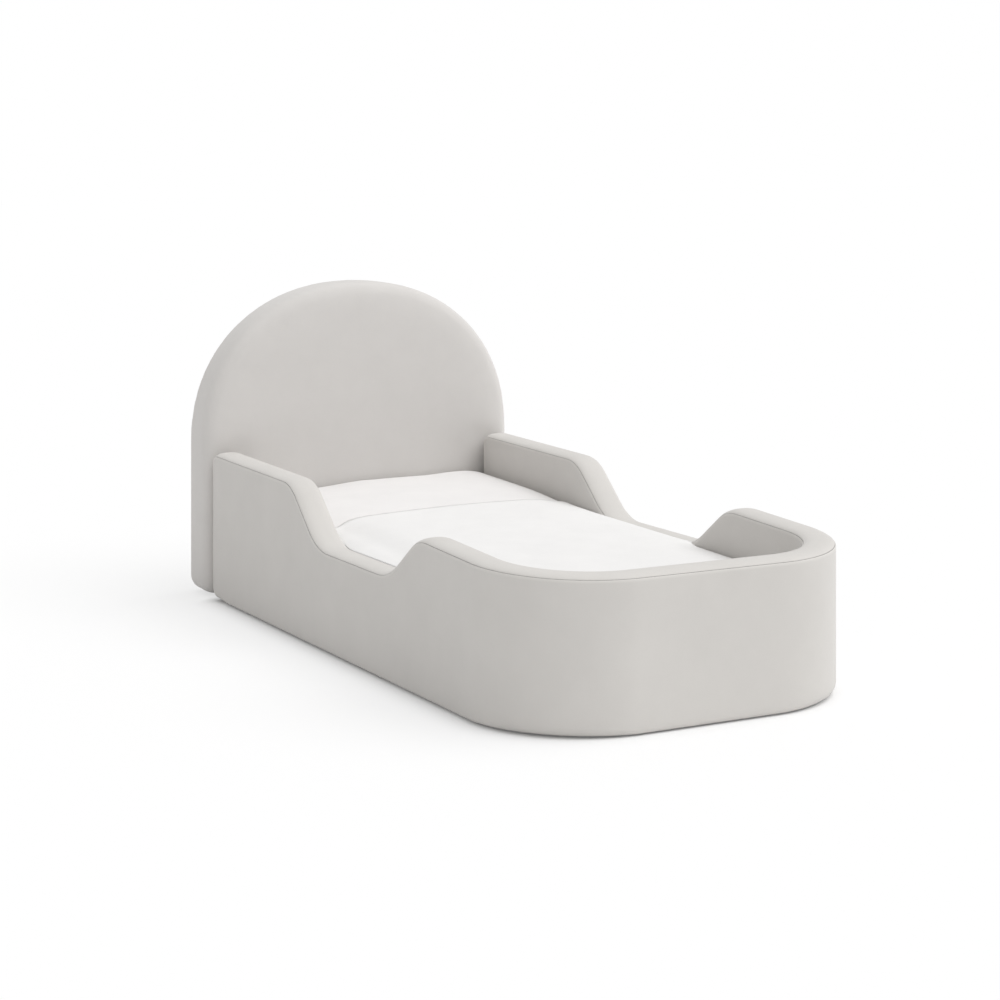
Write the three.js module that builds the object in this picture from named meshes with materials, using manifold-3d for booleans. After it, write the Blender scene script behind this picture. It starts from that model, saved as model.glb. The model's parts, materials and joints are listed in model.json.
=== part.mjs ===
// Toddler bed with an arched upholstered headboard, a U-shaped padded surround with a low entry on
// each side, a slatted base, a mattress and a blanket.
// Millimetres. +Z is up, +Y runs from the foot to the headboard, +X is the sleeper's left-hand side
// seen from the foot. The origin is on the floor, in the middle of the bed.
import * as THREE from 'three';
import { mergeVertices } from 'three/addons/utils/BufferGeometryUtils.js';
import Module from 'manifold-3d';

const wasm = await Module();
wasm.setup();

// ---------------------------------------------------------------- driving dimensions

// Gap between two pieces that touch
const seat = 0.3;

// Mattress and the room round it
const mattressWidth = 700;
const mattressLength = 1600;
const mattressEdgeHeight = 87;
const mattressCrown = 13;
const mattressHeadRise = 42;
const mattressEdgeRadius = 26;
const mattressCoverThickness = 3;
const coverJoinHeight = 45;
const sideGap = 7;
const footGap = 7;
const headGap = 10;

// Blanket
const blanketThickness = 2.8;
const blanketHeadMargin = 470;
const blanketDrop = 62;

// Wall of the surround, from the outside in: cover, foam, board, foam, cover
const coverThickness = 2;
const sideFoam = 23.9;
const boardThickness = 21;
const padDepth = 20;
const bandCrown = 8;
const cornerRadius = 255;

// Height of the outer seam of the surround above the floor, and where it changes along the rail
const headRailHeight = 373;
const headRailFall = 8;
const entryHeight = 231;
const footRailHeight = 338;
const footRailFall = 20;
const headRailLength = 508;
const entryStart = 666;
const entryEnd = 1046;
const footRailStart = 1194;
const crestRadius = 118;
const valleyRadius = 142;
const railEndRadius = 24;

// Headboard
const headboardOverhang = 16.5;
const headboardHeight = 803;
const archRise = 408;
const archFullness = 2.13;
const headboardFoam = 32;
const headboardBoard = 9;
const headboardFrameDepth = 44;
const headboardEdgeRadius = 36;
const headboardFootRadius = 46;
const headboardSeamSetback = 14;
const hoopThickness = 18;
const postWidth = 56;
const bottomRailHeight = 60;

// Floor clearance
const floorGap = 5;
const glideHeight = 7;
const glideRadius = 16;
const headGlideSetback = 90;
const middleGlideSetback = 850;
const footGlideOffset = 130;

// Slatted base
const slatTop = 141;
const slatThickness = 16;
const slatWidth = 95;
const slatCount = 10;
const slatEndGap = 3;
const cleatWidth = 30;
const cleatHeight = 40;
const firstSlatSetback = 14;
const lastSlatSetback = 22;
const strapWidth = 25;
const strapThickness = 1;
const strapOffset = 230;
const innerCoverLift = 12;

// Board joints and hardware
const boardJointSetback = 106;
const splicePlateLength = 180;
const splicePlateHeight = 70;
const splicePlateThickness = 12;
const spliceDrop = 6;
const bracketLeg = 40;
const bracketPlate = 4;
const bracketHeight = 40;
const bracketRise = 2;
const boltRadius = 4;
const boltClearance = 0.5;
const boltLength = 84;
const boltTipRoom = 3;
const boltHeadRadius = 7;
const boltHeadHeight = 5.5;

// ---------------------------------------------------------------- derived dimensions

const wallThickness = 2 * coverThickness + 2 * sideFoam + boardThickness + 4 * seat;
const wellWidth = mattressWidth + 2 * sideGap;
const surroundWidth = wellWidth + 2 * wallThickness;
const surroundLength = headGap + mattressLength + footGap + wallThickness;
const headboardWidth = surroundWidth + 2 * headboardOverhang;
const headSkin = coverThickness + seat + headboardFoam + seat;
const headboardThickness = 2 * (headSkin + headboardBoard + seat) + headboardFrameDepth;
const bedLength = surroundLength + headboardThickness;

// The headboard's front face, and distances t measured from it towards the foot
const headFace = bedLength / 2 - headboardThickness;
const yAt = (t) => headFace - t;

// Depths into the wall, measured inwards from its outer face
const outerFoamDepth = coverThickness + seat;
const boardDepth = outerFoamDepth + sideFoam + seat;
const boardInnerDepth = boardDepth + boardThickness;
const innerFoamDepth = boardInnerDepth + seat;
const innerCoverDepth = wallThickness - coverThickness;
const innerFace = surroundWidth / 2 - boardInnerDepth;

const boardBottom = glideHeight + seat;
const bracketFoot = floorGap + headboardEdgeRadius + bracketRise;
const slatBottom = slatTop - slatThickness;
const cleatTop = slatBottom - seat;
const cleatBottom = cleatTop - cleatHeight;
const innerCoverBottom = slatTop + innerCoverLift;
const railBack = bandCrown + seat;
const bandFoot = floorGap + bandCrown;
const boardBack = railBack + padDepth + seat;
const boardTopDrop = padDepth + seat;
const boardJoint = surroundLength - cornerRadius - boardJointSetback;
const spliceMiddle = boardJoint + seat / 2;
const spliceBottom = cleatBottom - spliceDrop - splicePlateHeight;

// ---------------------------------------------------------------- materials

const finish = (color, roughness, metalness = 0) => new THREE.MeshStandardMaterial({ color, roughness, metalness });
const greyFabric = finish('#cbc8c4', 0.9);
const whiteFabric = finish('#f1f1f0', 0.9);
const foam = finish('#e9e2c9', 0.95);
const plywood = finish('#d9bd8d', 0.7);
const pine = finish('#e3c793', 0.65);
const webbing = finish('#e8e6e0', 0.85);
const steel = finish('#a9abad', 0.35, 0.9);
const plastic = finish('#2c2c2d', 0.5);

// ---------------------------------------------------------------- solids and booleans

// A closed mesh as a manifold: only positions are kept, and shared vertices are merged.
function toManifold(geometry) {
  const bare = geometry.clone();
  bare.deleteAttribute('normal');
  bare.deleteAttribute('uv');
  const merged = mergeVertices(bare, 1e-4);
  const vertProperties = new Float32Array(merged.attributes.position.array);
  const triVerts = new Uint32Array(merged.index.array);
  return new wasm.Manifold(new wasm.Mesh({ numProp: 3, vertProperties, triVerts }));
}

function fromManifold(manifold) {
  const mesh = manifold.getMesh();
  const geometry = new THREE.BufferGeometry();
  geometry.setAttribute('position', new THREE.BufferAttribute(new Float32Array(mesh.vertProperties), 3));
  geometry.setIndex(Array.from(mesh.triVerts));
  return geometry;
}

const cut = (geometry, ...tools) =>
  fromManifold(tools.reduce((solid, tool) => solid.subtract(toManifold(tool)), toManifold(geometry)));
const keep = (geometry, tool) => fromManifold(toManifold(geometry).intersect(toManifold(tool)));
const join = (...solids) => fromManifold(solids.map(toManifold).reduce((sum, solid) => sum.add(solid)));

// A box from its lowest corner to its highest corner
function block(x0, y0, z0, x1, y1, z1) {
  const box = new THREE.BoxGeometry(x1 - x0, y1 - y0, z1 - z0);
  return box.translate((x0 + x1) / 2, (y0 + y1) / 2, (z0 + z1) / 2);
}

// Joins equal closed rings of points into a solid, with a flat cap on the first and the last ring.
// outline holds the ring's points in its own plane, for the triangles of the caps.
function loft(rings, outline) {
  const count = outline.length;
  const positions = rings.flat().flatMap((point) => [point.x, point.y, point.z]);
  const index = [];
  for (let i = 0; i + 1 < rings.length; i += 1) {
    for (let j = 0; j < count; j += 1) {
      const next = (j + 1) % count;
      const a = i * count + j;
      const b = i * count + next;
      index.push(a, a + count, b, b, a + count, b + count);
    }
  }
  const last = (rings.length - 1) * count;
  const caps = THREE.ShapeUtils.triangulateShape(outline, []);
  if (THREE.ShapeUtils.isClockWise(outline)) caps.forEach((cap) => cap.reverse());
  for (const [a, b, c] of caps) {
    index.push(a, b, c, last + a, last + c, last + b);
  }
  return outward(positions, index);
}

// Turns the faces over if they point inwards, which a negative volume shows.
function outward(positions, index) {
  const at = (i) => new THREE.Vector3().fromArray(positions, 3 * i);
  let volume = 0;
  for (let i = 0; i < index.length; i += 3) {
    volume += at(index[i]).dot(at(index[i + 1]).cross(at(index[i + 2])));
  }
  if (volume < 0) {
    for (let i = 0; i < index.length; i += 3) [index[i], index[i + 1]] = [index[i + 1], index[i]];
  }
  const geometry = new THREE.BufferGeometry();
  geometry.setAttribute('position', new THREE.Float32BufferAttribute(positions, 3));
  geometry.setIndex(index);
  return geometry;
}

// ---------------------------------------------------------------- line of the surround

// Side view of the outer seam: x is the distance t from the headboard, y the height.
// It starts under the rail's back end, climbs it, and runs down and up to the foot.
function seamPath() {
  const end = railEndRadius;
  const headDrop = headRailHeight - headRailFall * (end / headRailLength);
  const path = new THREE.Path();
  path.absarc(railBack + end, bandFoot + end, end, -Math.PI / 2, -Math.PI, true);
  path.absarc(railBack + end, headDrop - end, end, Math.PI, Math.PI / 2, true);
  const corners = [
    [headRailLength, headRailHeight - headRailFall, crestRadius],
    [entryStart, entryHeight, valleyRadius],
    [entryEnd, entryHeight, valleyRadius],
    [footRailStart, footRailHeight, crestRadius],
  ];
  const points = [[railBack + end, headDrop], ...corners, [surroundLength, footRailHeight - footRailFall]];
  const vectors = points.map(([t, z]) => new THREE.Vector2(t, z));
  corners.forEach(([, , radius], i) => {
    const corner = vectors[i + 1];
    const back = vectors[i].clone().sub(corner).normalize();
    const ahead = vectors[i + 2].clone().sub(corner).normalize();
    const turn = Math.PI - back.angleTo(ahead);
    const reach = radius * Math.tan(turn / 2);
    const from = corner.clone().addScaledVector(back, reach);
    const to = corner.clone().addScaledVector(ahead, reach);
    path.lineTo(from.x, from.y);
    path.quadraticCurveTo(corner.x, corner.y, to.x, to.y);
  });
  path.lineTo(surroundLength - cornerRadius, footSeamHeight(surroundLength - cornerRadius));
  return path;
}

// Height of the seam along the foot section
function footSeamHeight(t) {
  return footRailHeight - footRailFall * ((t - footRailStart) / (surroundLength - footRailStart));
}

// Stations along the left half of the seam. Each has a point on the outer face, the way into the
// wall, the way up out of the seam, and its part of the wall.
function leftStations() {
  const stations = [];
  seamPath().curves.forEach((curve, part) => {
    const steps = curve.isLineCurve ? 1 : 4;
    for (let k = part === 0 ? 0 : 1; k <= steps; k += 1) {
      const point = curve.getPoint(k / steps);
      const tangent = curve.getTangent(k / steps);
      stations.push({
        t: point.x,
        point: new THREE.Vector3(-surroundWidth / 2, yAt(point.x), point.y),
        inward: new THREE.Vector3(1, 0, 0),
        up: new THREE.Vector3(0, tangent.y, tangent.x),
      });
    }
  });
  const turns = 10;
  const centre = new THREE.Vector2(cornerRadius - surroundWidth / 2, yAt(surroundLength - cornerRadius));
  for (let k = 1; k <= turns; k += 1) {
    const angle = (k / turns) * (Math.PI / 2);
    const inward = new THREE.Vector3(Math.cos(angle), Math.sin(angle), 0);
    const x = centre.x - cornerRadius * inward.x;
    const y = centre.y - cornerRadius * inward.y;
    const t = headFace - y;
    stations.push({ t, point: new THREE.Vector3(x, y, footSeamHeight(t)), inward, up: new THREE.Vector3(0, 0, 1) });
  }
  return stations;
}

function mirrored(station) {
  const flip = new THREE.Vector3(-1, 1, 1);
  return {
    ...station,
    point: station.point.clone().multiply(flip),
    inward: station.inward.clone().multiply(flip),
  };
}

const leftLine = leftStations();
const surroundLine = [...leftLine, ...leftLine.map(mirrored).reverse()];
const topLine = leftLine.slice(leftLine.findIndex((station) => station.up.z > 0.99));

// A point at depth d into the wall and height h above the seam
function wallPoint(station, d, h) {
  return station.point.clone().addScaledVector(station.inward, d).addScaledVector(station.up, h);
}

// A slab that stands in the wall between two depths, from a floor height up to a drop below the seam
function standingRing(station, near, far, drop, bottom) {
  const tops = [wallPoint(station, near, -drop), wallPoint(station, far, -drop)];
  const feet = tops.map((top) => top.clone().setZ(bottom));
  return [feet[0], feet[1], tops[1], tops[0]];
}

const squareOutline = [[0, 0], [1, 0], [1, 1], [0, 1]].map(([x, y]) => new THREE.Vector2(x, y));

// The station where a straight line of stations crosses distance t
function stationAt(t) {
  const i = topLine.findIndex((station) => station.t >= t - 1e-6);
  const after = topLine[i];
  const before = topLine[Math.max(i - 1, 0)];
  const share = after.t > before.t ? (t - before.t) / (after.t - before.t) : 1;
  return { ...after, t, point: before.point.clone().lerp(after.point, share) };
}

// Left rail of a core layer: from the pad on the back end, where its top corner is taken off, to the
// joint with the foot piece
function railLayer(near, far, bottom) {
  const first = topLine[0];
  const chamfer = Math.max(railEndRadius - padDepth, 0) + seat;
  const corner = first.point.clone().setY(yAt(boardBack)).setZ(first.point.z - chamfer);
  const back = { ...first, t: boardBack, point: corner };
  const line = [back, ...topLine.filter((station) => station.t > boardBack + 1 && station.t < boardJoint)];
  line.push(stationAt(boardJoint));
  return loft(line.map((station) => standingRing(station, near, far, boardTopDrop, bottom)), squareOutline);
}

// Foot piece of a core layer: from joint to joint round both corners
function footLayer(near, far, bottom, drop = boardTopDrop) {
  const half = [stationAt(boardJoint + seat), ...topLine.filter((station) => station.t > boardJoint + 1)];
  const line = [...half, ...half.map(mirrored).reverse()];
  return loft(line.map((station) => standingRing(station, near, far, drop, bottom)), squareOutline);
}

// The same solid on the other side of the bed
function mirrorX(geometry) {
  const copy = geometry.clone().scale(-1, 1, 1);
  const index = Array.from(copy.index.array);
  return outward(Array.from(copy.attributes.position.array), index);
}

// ---------------------------------------------------------------- covers, band and pad

// A cover panel is a sheet at one depth. Its edge lies one band thickness inside the seam line, along
// the top and round the back end.
function coverPanel(near, bottom) {
  const inset = coverThickness + seat;
  const far = near + coverThickness;
  const climb = leftLine.slice(0, leftLine.indexOf(topLine[0]) + 1);
  const middle = (bandFoot + topLine[0].point.z) / 2;
  const lower = climb.filter((station) => station.point.z < middle).reverse();
  const upper = climb.filter((station) => station.point.z > middle);
  const ends = upper.map((station, i) => {
    const ring = standingRing(station, near, far, inset, bottom);
    const foot = Math.max(bottom, wallPoint(lower[i], near, -inset).z);
    return ring.map((point, k) => (k < 2 ? point.setZ(foot) : point));
  });
  const along = [stationAt(topLine[0].t + 2 * seat), ...topLine.slice(1)];
  const half = [...ends, ...along.map((station) => standingRing(station, near, far, inset, bottom))];
  const flip = (ring) => ring.map((point) => point.clone().setX(-point.x));
  return loft([...half, ...half.map(flip).reverse()], squareOutline);
}

// Rise of the crowned top at depth d
function crownAt(d) {
  const fromMiddle = Math.abs((2 * d) / wallThickness - 1);
  return bandCrown * (1 - fromMiddle ** 2.6);
}

// A strip that follows the seam: its top is crowned, and its underside is crowned or flat.
function crownedStrip(line, depths, topDrop, underside) {
  const over = depths.map((d) => [d, crownAt(d) - topDrop]);
  const under = underside(depths).reverse();
  const section = [...over, ...under];
  const outline = section.map(([d, h]) => new THREE.Vector2(d, h));
  return loft(line.map((station) => section.map(([d, h]) => wallPoint(station, d, h))), outline);
}

// On the back ends the band and the pad stop at the boards' back faces, and below the inner cover
// they leave the boards' inner faces free for the brackets.
function trimmed(strip) {
  const half = innerFace + seat;
  const room = surroundWidth;
  const aroundBracket = block(-half, yAt(boardBack + bracketLeg), -1, half, headFace + 1, innerCoverBottom - seat);
  const underBoards = block(-room, -bedLength, -1, room, yAt(boardBack - seat), bandFoot + railEndRadius);
  return cut(strip, aroundBracket, underBoards);
}

function topBand() {
  const depths = [0, 0.08, 0.24, 0.5, 0.76, 0.92, 1].map((share) => share * wallThickness);
  const band = crownedStrip(surroundLine, depths, 0, (list) => list.map((d) => [d, crownAt(d) - coverThickness]));
  return trimmed(band);
}

function topPad() {
  const edge = coverThickness + seat;
  const depths = [0, 0.2, 0.5, 0.8, 1].map((share) => edge + share * (wallThickness - 2 * edge));
  const flat = (list) => [[list[0], -padDepth], [list[list.length - 1], -padDepth]];
  return trimmed(crownedStrip(surroundLine, depths, edge, flat));
}

// ---------------------------------------------------------------- fasteners

// A turned solid on a line: profile points are [radius, distance along the axis from the start].
function turned(profile, start, direction, sides = 8) {
  const points = profile.map(([radius, along]) => new THREE.Vector2(radius, along));
  const solid = new THREE.LatheGeometry(points, sides);
  const spin = new THREE.Quaternion().setFromUnitVectors(new THREE.Vector3(0, 1, 0), direction);
  return solid.applyQuaternion(spin).translate(start.x, start.y, start.z);
}

// A round hole of a given length
function boltHole(start, direction, radius, length) {
  return turned([[0, 0], [radius, 0], [radius, length], [0, length]], start, direction, 12);
}

// ---------------------------------------------------------------- headboard

// The arch itself, from right to left: a half ellipse with slightly fuller shoulders
function archCurve(inset) {
  const half = headboardWidth / 2 - inset;
  const rise = archRise - inset;
  const power = 2 / archFullness;
  const steps = 26;
  return Array.from({ length: steps + 1 }, (_, i) => {
    const across = Math.cos((i / steps) * Math.PI);
    const up = Math.sqrt(Math.max(1 - across ** 2, 0));
    return new THREE.Vector2(half * Math.sign(across) * Math.abs(across) ** power,
      headboardHeight - archRise + rise * up ** power);
  });
}

// Outline of the arch, inset all round and standing at a given height
function archShape(inset, bottom) {
  const half = headboardWidth / 2 - inset;
  const foot = Math.max(headboardFootRadius - inset, 2);
  const arc = (x, y, radius, from, to, steps) =>
    new THREE.EllipseCurve(x, y, radius, radius, from, to).getPoints(steps);
  return new THREE.Shape([
    ...archCurve(inset),
    ...arc(foot - half, bottom + foot, foot, Math.PI, 1.5 * Math.PI, 4),
    ...arc(half - foot, bottom + foot, foot, 1.5 * Math.PI, 2 * Math.PI, 4),
  ]);
}

// An arch plate between two distances behind the headboard's front face
function archPlate(shape, front, back) {
  const plate = new THREE.ExtrudeGeometry(shape, { depth: back - front, bevelEnabled: false, curveSegments: 14 });
  return plate.rotateX(Math.PI / 2).translate(0, headFace + back, 0);
}

// The padded form: an arch slab with round edges, set in from the finished surface
function paddedArch(inset, bottom) {
  const radius = headboardEdgeRadius - inset;
  const depth = headboardThickness - 2 * inset;
  const options = {
    depth: depth - 2 * radius,
    bevelThickness: radius,
    bevelSize: radius,
    bevelSegments: 4,
  };
  const slab = new THREE.ExtrudeGeometry(archShape(inset + radius, bottom + radius), options);
  return slab.rotateX(Math.PI / 2).translate(0, headFace + headboardThickness - inset - radius, 0);
}

const coreFront = headSkin;
const coreBackFace = headboardThickness - headSkin;
const frameFront = coreFront + headboardBoard + seat;
const frameBack = frameFront + headboardFrameDepth;
const coreInset = headSkin;
const postX = surroundWidth / 2 - innerFoamDepth - bracketLeg / 2;
const boltLevel = (share) => bracketFoot + share * bracketHeight;
const lowerBolt = boltLevel(0.27);
const upperBolt = boltLevel(0.73);
const headGlideY = headFace + headboardThickness / 2;
const backwards = new THREE.Vector3(0, 1, 0);
const upwards = new THREE.Vector3(0, 0, 1);

function headboardPieces() {
  const room = 2 * headboardWidth;
  const outer = paddedArch(0, floorGap);
  const inner = paddedArch(coverThickness, floorGap + coverThickness);
  const padding = paddedArch(outerFoamDepth, floorGap + outerFoamDepth);
  const backFace = headFace + headboardThickness;
  const middle = headFace + headboardThickness / 2;
  const seam = backFace - headboardSeamSetback;
  const ahead = (y) => block(-room, headFace - 1, -1, room, y - seat / 2, room);
  const behind = (y) => block(-room, y + seat / 2, -1, room, backFace + 1, room);
  const skin = cut(outer, inner);

  const holes = (from, to, radius) => [-postX, postX].flatMap((x) => [lowerBolt, upperBolt].map((z) =>
    boltHole(new THREE.Vector3(x, headFace + from, z), backwards, radius, to - from)));
  const boltRoom = boltRadius + boltClearance;
  const through = holes(-1, frameFront + 1, boltRoom);

  const feet = [-postX, postX].map((x) =>
    boltHole(new THREE.Vector3(x, headGlideY, -1), upwards, glideRadius + seat, glideHeight + 2));

  const blockFront = outerFoamDepth;
  const blockBack = coreFront - seat;
  const mountingBlock = (x) => cut(
    block(x - postWidth / 2, headFace + blockFront, bracketFoot, x + postWidth / 2, headFace + blockBack,
      bracketFoot + bracketHeight), ...through);
  const pocket = (x) => block(x - postWidth / 2 - seat, headFace - 1, bracketFoot - seat,
    x + postWidth / 2 + seat, headFace + coreFront + 1, bracketFoot + bracketHeight + seat);

  const board = archShape(coreInset, boardBottom + seat);
  const frameLow = boardBottom + seat;
  const hoopOpening = (clearance) => {
    const inset = coreInset + hoopThickness + clearance;
    const half = headboardWidth / 2 - inset;
    const shape = new THREE.Shape([
      ...archCurve(inset),
      new THREE.Vector2(-half, -1),
      new THREE.Vector2(half, -1),
    ]);
    return archPlate(shape, frameFront - 1, frameBack + 1);
  };
  const hoop = cut(archPlate(archShape(coreInset, frameLow), frameFront, frameBack), hoopOpening(0));

  // Each post runs up to the hoop and is shaped to meet it.
  const post = (x) => {
    const solid = block(x - postWidth / 2, headFace + frameFront, frameLow, x + postWidth / 2,
      headFace + frameBack, headboardHeight);
    return cut(keep(solid, hoopOpening(seat)), ...holes(frameFront - 1, seat + boltLength + boltTipRoom, boltRoom));
  };
  const railHalf = postX - postWidth / 2 - seat;
  const padCore = cut(padding, archPlate(archShape(coreInset - seat, 0), coreFront - seat, coreBackFace + seat));

  return {
    headboard_front_cover: [cut(keep(skin, ahead(seam)), ...through, ...feet), greyFabric],
    headboard_back_cover: [cut(keep(skin, behind(seam)), ...feet), greyFabric],
    headboard_front_foam: [cut(keep(padCore, ahead(middle)), pocket(-postX), pocket(postX)), foam],
    headboard_back_foam: [keep(padCore, behind(middle)), foam],
    headboard_front_board: [cut(archPlate(board, coreFront, coreFront + headboardBoard), ...through), plywood],
    headboard_back_board: [archPlate(board, coreBackFace - headboardBoard, coreBackFace), plywood],
    headboard_arch_hoop: [hoop, plywood],
    headboard_left_post: [post(-postX), pine],
    headboard_right_post: [post(postX), pine],
    headboard_bottom_rail: [block(-railHalf, headFace + frameFront, frameLow, railHalf, headFace + frameBack,
      frameLow + bottomRailHeight), pine],
    headboard_left_block: [mountingBlock(-postX), pine],
    headboard_right_block: [mountingBlock(postX), pine],
  };
}

// ---------------------------------------------------------------- boards, cleats and plates

function sideCleat() {
  const x = -innerFace + seat;
  return block(x, yAt(surroundLength - cornerRadius - seat), cleatBottom, x + cleatWidth, yAt(headGap), cleatTop);
}

function footCleat() {
  const near = boardInnerDepth + seat;
  const half = topLine.filter((station) => station.t > surroundLength - cornerRadius - 1);
  const line = [...half, ...half.map(mirrored).reverse()];
  const ring = (station) => {
    const [a, b] = [wallPoint(station, near, 0), wallPoint(station, near + cleatWidth, 0)];
    return [a.clone().setZ(cleatBottom), b.clone().setZ(cleatBottom), b.setZ(cleatTop), a.setZ(cleatTop)];
  };
  return loft(line.map(ring), squareOutline);
}

function splicePlate() {
  const x = -innerFace + seat;
  const reach = splicePlateLength / 2;
  return block(x, yAt(spliceMiddle + reach), spliceBottom, x + splicePlateThickness, yAt(spliceMiddle - reach),
    spliceBottom + splicePlateHeight);
}

// Steel angle: one leg on the side board, the other on the headboard
function bracket() {
  const x = -innerFace + seat;
  const top = bracketFoot + bracketHeight;
  const onBoard = block(x, yAt(boardBack + bracketLeg), bracketFoot, x + bracketPlate, yAt(seat), top);
  const onHead = block(x, yAt(seat + bracketPlate), bracketFoot, x + bracketLeg, yAt(seat), top);
  const front = yAt(seat + bracketPlate) - 1;
  const bores = [lowerBolt, upperBolt].map((z) =>
    boltHole(new THREE.Vector3(-postX, front, z), backwards, boltRadius + boltClearance, bracketPlate + 2));
  return cut(join(onBoard, onHead), ...bores);
}

// Hexagon bolt through a bracket into the headboard's post
function bolt(x, z) {
  const profile = [
    [0, -boltHeadHeight],
    [boltHeadRadius, -boltHeadHeight],
    [boltHeadRadius, 0],
    [boltRadius, 0],
    [boltRadius, boltLength],
    [0, boltLength],
  ];
  return turned(profile, new THREE.Vector3(x, yAt(2 * seat + bracketPlate), z), backwards, 6);
}

// ---------------------------------------------------------------- slats

const slatStart = headGap + firstSlatSetback;
const slatFinish = surroundLength - wallThickness - footGap - lastSlatSetback;
const slatPitch = (slatFinish - slatStart - slatWidth) / (slatCount - 1);

// Half of the room between the boards at distance t, less where the corners curve in
function halfRoom(t) {
  const radius = cornerRadius - boardInnerDepth;
  const into = Math.max(t - (surroundLength - cornerRadius), 0);
  return innerFace - (radius - Math.sqrt(Math.max(radius ** 2 - into ** 2, 0)));
}

const slatFrom = (i) => slatStart + i * slatPitch;
const slatHalf = (i) => halfRoom(slatFrom(i) + slatWidth) - slatEndGap;

// A pine slat with rounded long edges
function slat(i) {
  const edge = slatThickness / 2 - 1;
  const section = new THREE.Shape();
  const x0 = yAt(slatFrom(i) + slatWidth);
  const x1 = yAt(slatFrom(i));
  section.absarc(x1 - edge, slatTop - edge, edge, Math.PI / 2, 0, true);
  section.absarc(x1 - edge, slatBottom + edge, edge, 0, -Math.PI / 2, true);
  section.absarc(x0 + edge, slatBottom + edge, edge, -Math.PI / 2, -Math.PI, true);
  section.absarc(x0 + edge, slatTop - edge, edge, -Math.PI, -1.5 * Math.PI, true);
  const length = 2 * slatHalf(i);
  const solid = new THREE.ExtrudeGeometry(section, { depth: length, bevelEnabled: false, curveSegments: 3 });
  return solid.rotateY(Math.PI / 2).rotateX(Math.PI / 2).translate(-length / 2, 0, 0);
}

function strap(x) {
  const top = slatBottom - seat;
  return block(x - strapWidth / 2, yAt(slatFrom(slatCount - 1) + slatWidth), top - strapThickness,
    x + strapWidth / 2, yAt(slatStart), top);
}

// ---------------------------------------------------------------- glides

function glide(x, y) {
  const profile = [[0, 0], [glideRadius - 2, 0], [glideRadius, 2], [glideRadius, glideHeight], [0, glideHeight]];
  return turned(profile, new THREE.Vector3(x, y, 0), new THREE.Vector3(0, 0, 1), 12);
}

// Glides under the middle of the boards, and under the headboard's posts
const boardMiddle = (boardDepth + boardInnerDepth) / 2;
const railGlideX = surroundWidth / 2 - boardMiddle;
const footGlideY = yAt(surroundLength - boardMiddle);

// ---------------------------------------------------------------- mattress and blanket

const mattressBottom = slatTop + seat;
const mattressFootRadius = cornerRadius - wallThickness - footGap;
const mattressHead = headGap;
const mattressFoot = headGap + mattressLength;

// Height of the middle of the mattress's top: the head end is a little thicker
function mattressTop(t) {
  const share = (mattressFoot - t) / mattressLength;
  return mattressBottom + mattressEdgeHeight + mattressHeadRise * THREE.MathUtils.clamp(share, 0, 1);
}

// Cross-section at distance t, grown by a skin: flat underneath, round edges and a crowned top
function mattressRing(t, grow) {
  const into = Math.max(t - (mattressFoot + grow - mattressFootRadius - grow), 0);
  const radius = mattressFootRadius + grow;
  const inCurve = radius - Math.sqrt(Math.max(radius ** 2 - into ** 2, 0));
  const half = mattressWidth / 2 + grow - inCurve;
  const edge = mattressEdgeRadius;
  const low = mattressBottom - Math.min(grow, 0);
  const high = mattressTop(t) + grow;
  const arcs = [0, 30, 60].map((degrees) => THREE.MathUtils.degToRad(degrees));
  const side = arcs.map((a) => [half - edge + edge * Math.cos(a), high - edge + edge * Math.sin(a)]);
  const crown = [0.88, 0.6, 0.3].map((share) => {
    const x = share * half;
    return [x, high + mattressCrown * (1 - share ** 2.4)];
  });
  const right = [[half - 6, low], [half, low + 6], ...side, ...crown];
  const leftSide = right.map(([x, z]) => [-x, z]).reverse();
  return [...right, [0, high + mattressCrown], ...leftSide].map(([x, z]) => new THREE.Vector3(x, yAt(t), z));
}

function mattressForm(grow) {
  const foot = mattressFoot + grow;
  const straight = [mattressHead - grow, 400, 800, 1200];
  const bendStart = foot - (mattressFootRadius + grow);
  const turns = 6;
  const bend = Array.from({ length: turns }, (_, k) => {
    const angle = (k / turns) * (Math.PI / 2);
    return bendStart + (mattressFootRadius + grow) * Math.sin(angle);
  });
  const rings = [...straight, ...bend, foot - 1].map((t) => mattressRing(t, grow));
  const outline = rings[0].map((point) => new THREE.Vector2(point.x, point.z));
  return loft(rings, outline);
}

function beddingPieces() {
  const room = 2 * mattressLength;
  const skin = cut(mattressForm(0), mattressForm(-mattressCoverThickness));
  const join = mattressBottom + coverJoinHeight;
  const level = (from, to) => block(-room, -room, from, room, room, to);
  const shell = cut(mattressForm(blanketThickness + seat), mattressForm(seat));
  const hem = mattressTop(mattressFoot) - blanketDrop;
  const covered = block(-room, -room, hem, room, yAt(blanketHeadMargin), room);
  return {
    mattress_core: [mattressForm(-mattressCoverThickness - seat), foam],
    mattress_cover_top: [keep(skin, level(join + seat, room)), whiteFabric],
    mattress_cover_base: [keep(skin, level(0, join)), whiteFabric],
    blanket: [keep(shell, covered), whiteFabric],
  };
}

// ---------------------------------------------------------------- assembly

const leftBoard = railLayer(boardDepth, boardInnerDepth, boardBottom);
const leftCleat = sideCleat();
const leftPlate = splicePlate();
const leftBracket = bracket();
const leftOuterFoam = railLayer(outerFoamDepth, boardDepth - seat, boardBottom);
const leftInnerFoam = railLayer(innerFoamDepth, innerCoverDepth - seat, innerCoverBottom);

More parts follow.
